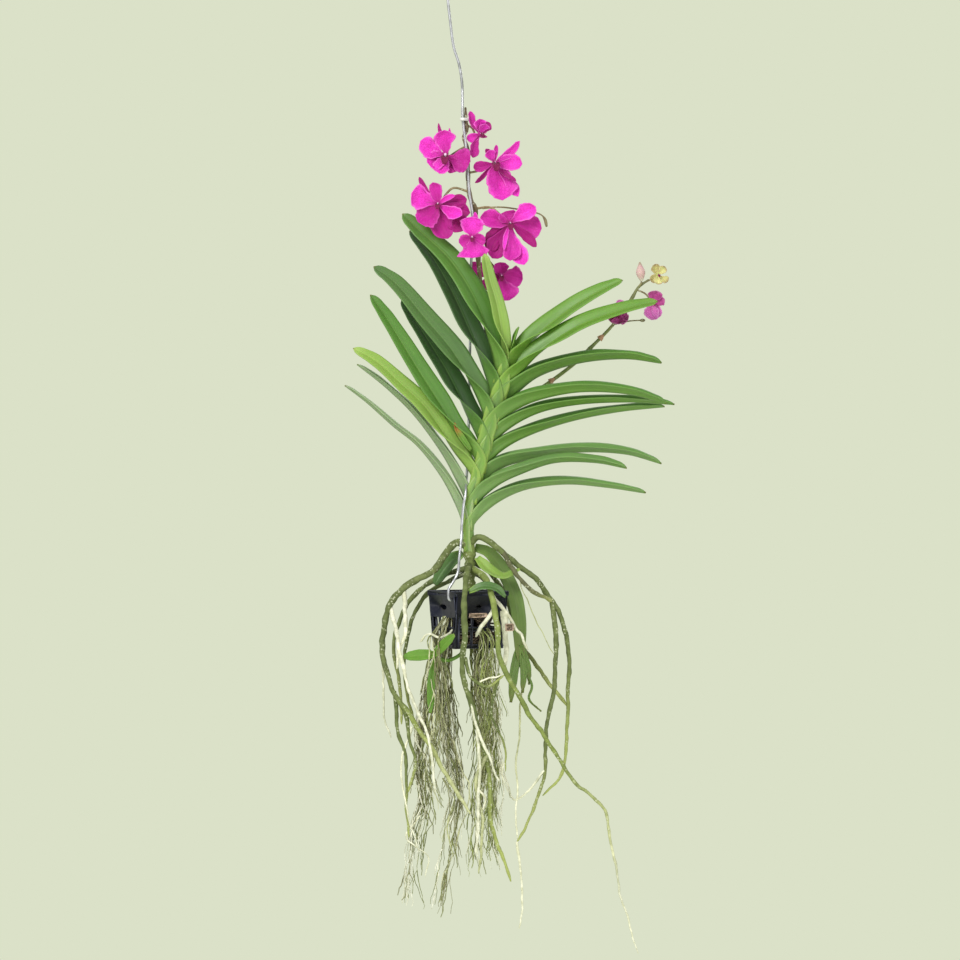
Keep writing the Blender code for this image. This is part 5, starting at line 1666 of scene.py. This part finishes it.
SECOND_STALKS = (
    ((139, 10.8, -267.6), (144, 10.6, -265), "young_bloom_end"),
    ((133, 12.4, -273), (140, 17, -276), "young_bloom_right"),
    ((116, 14, -298.4), (118, 13, -295), "young_bloom_left"),
)
TENDRIL = ((17, 3.4, -212.3), (30, 8, -211), (46, 8, -213), (59, 6, -216), (63.5, 3, -220), (65, 2, -226))
SIDE_STALK = ((116, 14, -299), (128, 12, -296.5), (139, 11, -296))
BUD_STALK = ((134.4, 11.9, -270.6), (136.2, 10.2, -268.5), (136.6, 9.8, -267.2))
BUD = ((136.5, 9.6, -266.6), (135.8, 8.6, -260), (135.2, 8, -252.5))
BUD_RADII = (1.0, 1.7, 2.4, 3.0, 3.5, 3.5, 3.1, 2.5, 1.8, 1.2, 0.6)
KNOB_RADII = (1.0, 1.25, 1.2, 0.8)
# Places along each spike, 0 to 1, where a stalk leaves
MAIN_JOINTS = (0.52, 0.67, 0.72, 0.78, 0.87, 0.94)
SECOND_JOINTS = (0.62, 0.8, 0.9)


@dataclass
class FlowerSpikes:
    """The two flower spikes with their bracts, stalks, bare ends and the closed bud."""

    sides: int = 12
    step: float = 2.5
    stalk_radius: float = 0.85
    thin_stalk_radius: float = 0.65
    stalk_points: int = 18
    stalk_sides: int = 8
    bare_points: int = 26
    bract_samples: int = 60
    bracts: tuple = (24, 40, 47)
    bract_facing: tuple = (0.3, -1, 0.4)
    bract_length: float = 5.0
    bract_rows: int = 7
    bract_thickness: float = 0.35

    def spike(self, route: tuple, low: float, high: float, joints: tuple, tone: float) -> Growth:
        """A spike, thicker at its joints.

        Args:
            route: Its route.
            low: Radius above its foot.
            high: Radius at its tip.
            joints: Places along it, 0 to 1, where a stalk leaves.
            tone: Its place on the spikes' colour ramp.

        Returns:
            The spike's surface.
        """
        points = vectors(route)
        count = round(route_length(points) / self.step)
        line = smooth(points, count)
        radii = []
        for i in range(count):
            s = i / (count - 1)
            swell = sum(0.35 * math.exp(-((s - j) * 60) ** 2) for j in joints)
            foot = ease(s / 0.08)
            radii.append(mix(0.7, mix(low, high, s), foot) * (1 + swell) * (1 if s < 0.985 else 0.7))
        return tube(line, radii, self.sides, tone)

    def stalk(self, route: list, bloom: Bloom, radius: float) -> Growth:
        """A bent stalk from the spike to the back of a flower."""
        facing = bloom.front()
        end = Vector(bloom.centre) - facing * (4.6 * bloom.scale)
        back = end - facing * (2.5 * bloom.scale)
        line = smooth([*vectors(tuple(route)), back, end], self.stalk_points)
        radii = [radius * (1 + 0.25 * math.exp(-i)) for i in range(self.stalk_points)]
        return tube(line, radii, self.stalk_sides, 0.65)

    def bare(self, route: tuple, radius: float) -> Growth:
        """A stalk that has lost its flower, with a dry knob at its end."""
        line = smooth(vectors(route), self.bare_points)
        plain = self.bare_points - len(KNOB_RADII)
        radii = [radius * mix(1.0, 0.8, i / (self.bare_points - 1)) for i in range(plain)]
        return tube(line, [*radii, *KNOB_RADII], self.stalk_sides, 0.6)

    def bract(self, foot: Vector, along: Vector, out: Vector) -> Growth:
        """A small scale that clasps the spike below a joint.

        Args:
            foot: Where it grows.
            along: Direction of the spike.
            out: Direction away from the spike.

        Returns:
            The scale's surface.
        """
        side = along.cross(out).normalized()
        top = []
        last = self.bract_rows - 1
        for i in range(self.bract_rows):
            s = i / last
            width = 2.3 * (1 - s ** 2) + 0.2
            row = []
            for j in range(self.bract_rows):
                a = (2 * j / last - 1) * 1.25
                row.append(foot + along * (self.bract_length * s) + out * (1.9 * math.cos(a) + 0.6 * s)
                           + side * (width * math.sin(a)))
            top.append(row)
        return slab(top, same_thickness(self.bract_thickness), 0.85)

    def build(self, finish: bpy.types.Material, young: bpy.types.Material) -> None:
        """Makes both spikes and the bud.

        Args:
            finish: Material of the spikes.
            young: Material of the bud.
        """
        blooms = {b.name: b for b in BLOOMS + YOUNG_BLOOMS}
        main = Growth().add(self.spike(MAIN_SPIKE, 2.0, 1.2, MAIN_JOINTS, 0.3))
        for *route, name in MAIN_STALKS:
            main.add(self.stalk(route, blooms[name], self.stalk_radius))
        main.add(self.bare(TENDRIL, 0.65))
        make_piece("main_flower_spike", main, [finish], ("main_spike",))
        second = Growth().add(self.spike(SECOND_SPIKE, 1.8, 1.0, SECOND_JOINTS, 0.5))
        for *route, name in SECOND_STALKS:
            second.add(self.stalk(route, blooms[name], self.thin_stalk_radius))
        second.add(self.bare(SIDE_STALK, 0.6))
        second.add(tube(smooth(vectors(BUD_STALK), 6), [0.75] * 6, self.stalk_sides, 0.6))
        line = smooth(vectors(SECOND_SPIKE), self.bract_samples)
        outward = Vector(self.bract_facing)
        for place in self.bracts:
            heading = (line[place + 1] - line[place]).normalized()
            away = (outward - heading * outward.dot(heading)).normalized()
            second.add(self.bract(line[place], heading, away))
        make_piece("second_flower_spike", second, [finish], ("second_spike",))
        bud = tube(smooth(vectors(BUD), len(BUD_RADII)), list(BUD_RADII), 14, 0.8)
        make_piece("closed_bud", bud, [young], ("young_bud",))


OLD_LEAVES = (
    ("old_leaf_right", ((11.2, 3.7, -467), (22, 5, -471), (33, 5, -486), (41, 4, -505), (44, 3, -524),
        (45, 2, -545), (47, 2, -562)), 6.2, 18, (0.3, -1, 0.2), LeafTone.WITHERED),
    ("old_leaf_short", ((12.8, -1.5, -474.5), (22, -7, -484), (33, -8, -489), (45, -8, -483)), 5.4, 22,
        (-0.2, -0.5, 1), LeafTone.PALE),
    ("old_leaf_left", ((2.1, 2.3, -471), (-6, 5, -477), (-12, 6, -484), (-19, 6, -495)), 6.0, 20,
        (-0.3, -1, 0.4), LeafTone.DARK),
)
FRAYED_ENDS = (
    (((44.5, 2, -540), (41, 1, -556), (39, 0, -572), (38, -1, -583)), 3.6),
    (((46, 2, -545), (47.5, 1, -560), (47, 2, -576)), 2.6),
    (((46, 2, -540), (51, 3, -556), (52, 5, -570)), 2.2),
    (((47, 3, -556), (54, 4, -570), (52, 4, -581), (61, 3, -590)), 0.8),
)
TORN_BASE = ((8, -5.5, -394), (3, -8, -387), (-1.5, -9, -380), (-4.5, -9, -373.5))
BASKET_LEAF = ((7, -34, -499), (17, -35, -495), (27, -34, -496.5), (34, -31, -503))
SHOOT_STALK = ((2.4, -11.5, -540), (1, -12.5, -546), (-10, -17, -551), (-21, -17, -546))
SHOOT_LEAVES = (
    (((-19, -17.2, -546.6), (-13, -26, -540), (-4, -37, -531)), 4.0),
    (((-19, -17, -546.2), (-30, -18, -547), (-42, -20, -548)), 4.6),
    (((-18, -17, -547.2), (-21, -18, -566), (-22, -19, -590)), 3.2),
)


@dataclass
class OldGrowth:
    """The old leaves round the crown and the small shoot at the basket."""

    rows: int = 26
    columns: int = 10
    thickness: float = 0.8
    fray_start: float = 0.72
    fray_length: float = 0.28
    stalk_points: int = 10
    profile: tuple = ((0.0, 0.5), (0.2, 0.88), (0.5, 1.0), (0.8, 0.82), (1.0, 0.3))

    def blade(self, route: tuple, half_width: float, fold: float, facing: tuple, seed: float,
              frayed: bool = False) -> Growth:
        """A short leaf whose upper side faces a given way.

        Args:
            route: Its midrib's route.
            half_width: Width of one wing.
            fold: Angle of its wings.
            facing: Direction that its upper side faces.
            seed: Makes its irregularities its own.
            frayed: Whether its end is withered into strips.

        Returns:
            The leaf's surface.
        """
        line = smooth(vectors(route), self.rows + 1)
        top = []
        for i, t in enumerate(tangents(line)):
            s = i / self.rows
            up = Vector(facing)
            up = (up - t * up.dot(t)).normalized()
            out = t.cross(up)
            uneven = 1 + 0.06 * noise.noise(Vector((s * 7, seed, 0)))
            width = half_width * profile_at(self.profile, s) * uneven
            if frayed and s > self.fray_start:
                width *= 1 - 0.35 * (s - self.fray_start) / self.fray_length
            angle = math.radians(fold)
            row = []
            for j in range(-self.columns // 2, self.columns // 2 + 1):
                q = 2 * j / self.columns
                wither = 0.0
                if frayed:
                    wither = 0.9 * noise.noise(Vector((s * 9, q * 2, seed))) * ease((s - 0.5) * 2)
                row.append(line[i] + out * (q * width * math.cos(angle))
                           + up * (abs(q) * width * math.sin(angle) + wither))
            top.append(row)
        return slab(top, lambda s, q: self.thickness * (1 - 0.3 * s), (seed * 0.41) % 1.0)

    def build(self) -> None:
        """Makes the old leaves and the shoot."""
        for number, (name, route, half_width, fold, facing, tone) in enumerate(OLD_LEAVES):
            frayed = name == "old_leaf_right"
            surface = Growth().add(self.blade(route, half_width, fold, facing, 5.0 + number, frayed))
            for k, (end, width) in enumerate(FRAYED_ENDS if frayed else ()):
                surface.add(self.blade(end, width, 26, facing, 15.0 + k, True))
            make_piece(name + "_blade", surface, [tone.value.material()], (name,))
        torn = self.blade(TORN_BASE, 2.6, 34, (0.2, -1, 0.2), 31.0, True)
        edge = self.blade(BASKET_LEAF, 3.6, 24, (0, -1, 0.8), 37.0)
        make_piece("basket_edge_leaf", edge, [LeafTone.DARK.value.material()], ())
        make_piece("torn_leaf_base", torn, [LeafTone.TORN.value.material()], ())
        count = self.stalk_points
        radii = [mix(1.3, 1.6, i / (count - 1)) for i in range(count)]
        shoot = Growth().add(tube(smooth(vectors(SHOOT_STALK), count), radii, 8, 0.5))
        for number, (route, half_width) in enumerate(SHOOT_LEAVES):
            shoot.add(self.blade(route, half_width, 16, (0.2, -1, 0.5), 9.0 + number))
        make_piece("basket_shoot_leaves", shoot, [LeafTone.YOUNG.value.material()], ("basket_shoot",))


WIRE_ROUTE = (
    (-9.4, 0, -50), (-7.5, 0, -70.5), (-4.8, 0, -91), (-0.8, -0.6, -104), (1.5, -1.4, -118.5),
    (1.9, -2.4, -134), (2.1, -3, -146), (4.4, -3.6, -166), (6, -3.7, -187.5), (7, -3.7, -201),
    (9, -3.8, -215), (9.6, -2.6, -226), (8.6, 4, -244), (8.2, 12, -264), (8, 18.5, -284),
    (7.6, 19, -310), (7, 18, -340), (6.6, 16, -368), (6.2, 13, -389), (5.6, 9.5, -404),
    (5, 5.2, -414.4), (4.7, 0, -418.4), (4.5, -5, -422), (4.2, -7.6, -427), (2.6, -8.4, -436),
    (1.5, -9, -449), (1, -11.5, -461), (-0.4, -17, -474), (-1.8, -23.5, -486),
)


@dataclass
class WireHanger:
    """The bent wire: hook, long run past the plant and a foot under the basket's rim."""

    radius: float = 1.0
    hook_radius: float = 10.0
    hook_start: float = -40.0
    hook_sweep: float = 240.0
    from_corner: float = 7.5
    clearance: float = 0.4
    foot_rise: float = 1.6
    sides: int = 14
    hook_steps: int = 30
    foot_steps: int = 12
    run_points: int = 260

    def hook(self) -> list[Vector]:
        """Points of the open hook, from its tip over the top."""
        centre = Vector((0, 0, -self.hook_radius + self.radius))
        points = []
        for i in range(self.hook_steps + 1):
            a = math.radians(self.hook_start + self.hook_sweep * i / self.hook_steps)
            points.append(centre + Vector((math.cos(a), 0, math.sin(a))) * self.hook_radius)
        return points

    def foot(self, basket: Basket) -> list[Vector]:
        """Points of the wire's foot, bent round the rim of the basket."""
        right, _ = basket.axes()
        half = basket.top_side / 2
        face = basket.point(-half, -half + self.from_corner, 0)
        under = basket.top - basket.rim_height - self.clearance
        radius = basket.wall / 2 + self.clearance + self.radius
        middle = face + right * (basket.wall / 2)
        points = [middle - right * radius + Vector((0, 0, basket.top + self.foot_rise))]
        for i in range(self.foot_steps + 1):
            a = math.pi * i / self.foot_steps
            depth = Vector((0, 0, under - radius * math.sin(a)))
            points.append(middle - right * (radius * math.cos(a)) + depth)
        points.append(middle + right * radius + Vector((0, 0, under + self.clearance + self.foot_rise)))
        return points

    def build(self, basket: Basket, finish: bpy.types.Material) -> None:
        """Makes the wire.

        Args:
            basket: The basket that it carries.
            finish: Its material.
        """
        hook, foot = self.hook(), self.foot(basket)
        upper = smooth([hook[-1], *vectors(WIRE_ROUTE), foot[0]], self.run_points)
        line = hook[:-1] + upper + foot[1:]
        make_piece("wire_hanger", tube(line, [self.radius] * len(line), self.sides), [finish],
                   ("wire_hook", "hanger_wire"))


@dataclass
class SpikeClip:
    """The small white clip round the spike and the wire."""

    height: float = 2.4
    place: float = -146.0
    wall: float = 0.8
    spike_radius: float = 1.35
    wire_radius: float = 1.0
    clearance: float = 0.4
    samples: int = 400
    arc_steps: int = 12
    sides: int = 8

    def nearest(self, route: tuple) -> Vector:
        """The point of a route at the clip's height."""
        return min(smooth(vectors(route), self.samples), key=lambda p: abs(p.z - self.place))

    def build(self, finish: bpy.types.Material) -> None:
        """Makes the clip as one rounded band."""
        wire, spike = self.nearest(WIRE_ROUTE), self.nearest(MAIN_SPIKE)
        along = ((spike - wire) * Vector((1, 1, 0))).normalized()
        side = Vector((-along.y, along.x, 0))
        middle = self.wall / 2 + self.clearance
        loop = []
        for centre, radius, start in ((spike, self.spike_radius, -90), (wire, self.wire_radius, 90)):
            flat = Vector((centre.x, centre.y, 0))
            reach = radius + middle
            for i in range(self.arc_steps + 1):
                a = math.radians(start + 180 * i / self.arc_steps)
                loop.append(flat + along * (math.cos(a) * reach) + side * (math.sin(a) * reach))
        made = Growth()
        count, sides = len(loop), self.sides
        for k, p in enumerate(loop):
            heading = (loop[(k + 1) % count] - loop[k - 1]).normalized()
            out = heading.cross(UP)
            ring, following = k * sides, (k + 1) % count * sides
            for step in range(sides):
                a = 2 * math.pi * step / sides
                place = out * (math.cos(a) * self.wall / 2) + Vector((0, 0, math.sin(a) * self.height / 2))
                made.put(p + place + Vector((0, 0, self.place)), (k / count, math.cos(a), 0.5))
                n = (step + 1) % sides
                made.faces.append((ring + step, following + step, following + n, ring + n))
        make_piece("spike_clip", made, [finish], ("spike_tie",))


@dataclass
class Studio:
    """The pale surroundings, the soft lights and the camera."""

    backdrop: tuple = (219, 225, 200)
    floor_height: float = -1.15
    floor_radius: float = 1.5

    def world(self) -> None:
        """A plain pale background with soft white light from all round."""
        world = bpy.data.worlds.new("pale_room")
        bpy.context.scene.world = world
        world.use_nodes = True
        world.node_tree.nodes.clear()
        tree = NodeTree(world.node_tree)
        out = tree.new("ShaderNodeOutputWorld")
        soft = tree.new("ShaderNodeBackground")
        soft.inputs["Color"].default_value = (1.0, 1.0, 0.98, 1.0)
        soft.inputs["Strength"].default_value = 0.55
        seen = tree.new("ShaderNodeBackground")
        seen.inputs["Color"].default_value = linear(*self.backdrop)
        path = tree.new("ShaderNodeLightPath")
        choose = tree.new("ShaderNodeMixShader")
        tree.link(path.outputs["Is Camera Ray"], choose.inputs[0])
        tree.link(soft.outputs[0], choose.inputs[1])
        tree.link(seen.outputs[0], choose.inputs[2])
        tree.link(choose.outputs[0], out.inputs["Surface"])

    def floor(self) -> None:
        """A plain pale floor well below the hanging plant."""
        mesh = bpy.data.meshes.new("floor")
        rim = [(self.floor_radius * math.cos(math.radians(a)), self.floor_radius * math.sin(math.radians(a)),
                self.floor_height) for a in range(0, 360, 5)]
        mesh.from_pydata(rim, [], [tuple(range(len(rim)))])
        material = bpy.data.materials.new("pale_floor")
        material.use_nodes = True
        shader = material.node_tree.nodes["Principled BSDF"]
        shader.inputs["Base Color"].default_value = linear(*self.backdrop)
        shader.inputs["Roughness"].default_value = 0.9
        mesh.materials.append(material)
        place_object("floor", mesh)

    def light(self, name: str, place: tuple, size: float, power: float) -> None:
        """A soft square light aimed at the middle of the plant."""
        lamp = bpy.data.lights.new(name, "AREA")
        lamp.size = size
        lamp.energy = power
        made = place_object(name, lamp)
        made.location = place
        aim = Vector(FIELD_CENTRE) - Vector(place)
        made.rotation_euler = aim.to_track_quat("-Z", "Y").to_euler()

    def camera(self) -> None:
        """A long lens that looks straight at the front of the plant."""
        lens = bpy.data.cameras.new("front_camera")
        lens.sensor_width = SENSOR
        lens.lens = SENSOR * CAMERA_DISTANCE / FIELD
        made = place_object("front_camera", lens)
        made.location = Vector(FIELD_CENTRE) + Vector((0, -CAMERA_DISTANCE, 0))
        made.rotation_euler = (math.pi / 2, 0, 0)
        bpy.context.scene.camera = made

    def build(self) -> None:
        """Sets up background, floor, lights, camera and the picture's colours."""
        self.world()
        self.floor()
        self.light("key_light", (-0.9, -1.6, 0.7), 0.9, 34.0)
        self.light("fill_light", (1.3, -1.6, -0.6), 1.4, 14.0)
        self.light("rear_light", (0.4, 1.5, 0.6), 1.2, 12.0)
        self.camera()
        bpy.context.scene.view_settings.view_transform = "Standard"


ROOT_STOPS = (
    (0.0, linear(104, 98, 76)), (0.3, linear(104, 116, 68)), (0.5, linear(128, 144, 74)),
    (0.75, linear(190, 194, 146)), (0.95, linear(232, 232, 208)),
)
ROOT_SKIN = RootFinish("root_skin", ROOT_STOPS, linear(196, 205, 120))
# Fine roots wear lighter copies of the root colours: partly their own paler colour, partly painted light that
# offsets the shade between the thin strands
FINE_STOPS = (
    (0.0, linear(132, 126, 98)), (0.3, linear(134, 142, 92)), (0.5, linear(150, 162, 96)),
    (0.75, linear(206, 208, 168)), (0.95, linear(240, 240, 222)),
)
FINE_SKIN = RootFinish("fine_root_skin", FINE_STOPS, linear(176, 180, 132), 0.3, 0.8)
SPIKE_STOPS = (
    (0.0, linear(70, 48, 40)), (0.3, linear(118, 108, 74)), (0.5, linear(136, 150, 88)),
    (0.7, linear(158, 136, 108)), (0.85, linear(196, 150, 120)),
)
SPIKE_SKIN = RootFinish("flower_spike_skin", SPIKE_STOPS, linear(92, 74, 66), 0.5, 0.55)
MAGENTA = PetalFinish("magenta_petal", linear(150, 0, 102), linear(248, 62, 210), linear(172, 0, 126),
                      linear(250, 122, 216), linear(146, 0, 92), linear(200, 90, 170), 0.5)
LILAC = PetalFinish("lilac_petal", linear(150, 34, 104), linear(230, 134, 206), linear(170, 60, 140),
                    linear(226, 150, 206), linear(150, 20, 90), linear(224, 160, 206), 0.4, 0.3)
LIP_MAGENTA = PetalFinish("lip_petal", linear(120, 6, 70), linear(196, 30, 130), linear(90, 0, 50),
                          linear(190, 40, 130), linear(120, 10, 60), linear(150, 20, 90), 0.3)
YOUNG_PETAL = PetalFinish("young_petal_green", linear(184, 182, 112), linear(222, 224, 150),
                          linear(176, 150, 104), linear(206, 190, 140), linear(214, 222, 130),
                          linear(140, 104, 90), 0.3, 0.5)
PALE_BUD = PetalFinish("pale_pink_bud", linear(206, 180, 168), linear(216, 190, 176), linear(196, 150, 146),
                       linear(206, 180, 164), linear(214, 216, 190), linear(150, 140, 112), 0.3, 0.8)
COLUMN_PALE = PetalFinish("pale_column", linear(220, 150, 200), linear(240, 196, 228), linear(226, 150, 210),
                          linear(240, 190, 225), linear(228, 120, 200), linear(246, 226, 240), 0.2, 0.8)
BLACK_PLASTIC = PlasticFinish("black_plastic", linear(42, 46, 64), linear(120, 126, 124), 0.3, 0.25)
WHITE_PLASTIC = PlasticFinish("white_plastic", linear(224, 226, 218), linear(190, 190, 176), 0.4, 0.2)
GALVANISED = WireFinish("galvanised_wire", linear(196, 198, 200), linear(140, 142, 140))
SPLIT_BARK = BarkFinish("split_bark", linear(236, 206, 180), linear(52, 44, 36))


def main() -> None:
    """Builds the whole scene around the frame."""
    logging.basicConfig(level=logging.INFO, format="%(message)s")
    noise.seed_set(NOISE_SEED)
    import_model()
    for old in [o for o in bpy.data.objects if o.type in {"LIGHT", "CAMERA"}]:
        bpy.data.objects.remove(old)
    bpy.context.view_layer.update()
    root_skin = ROOT_SKIN.material()
    basket = Basket()
    Studio().build()
    Stem().build(root_skin)
    LeafFan().build()
    OldGrowth().build()
    RootSystem().build(root_skin)
    basket.build(BLACK_PLASTIC.material())
    RootBall().build(FINE_SKIN.material(), SPLIT_BARK.material(), basket)
    FlowerSpikes().build(SPIKE_SKIN.material(), PALE_BUD.material())
    BloomMaker().build(MAGENTA.material(), YOUNG_PETAL.material(), LILAC.material(), COLUMN_PALE.material(),
                       LIP_MAGENTA.material())
    WireHanger().build(basket, GALVANISED.material())
    SpikeClip().build(WHITE_PLASTIC.material())
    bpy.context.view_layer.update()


if __name__ == "__main__":
    main()
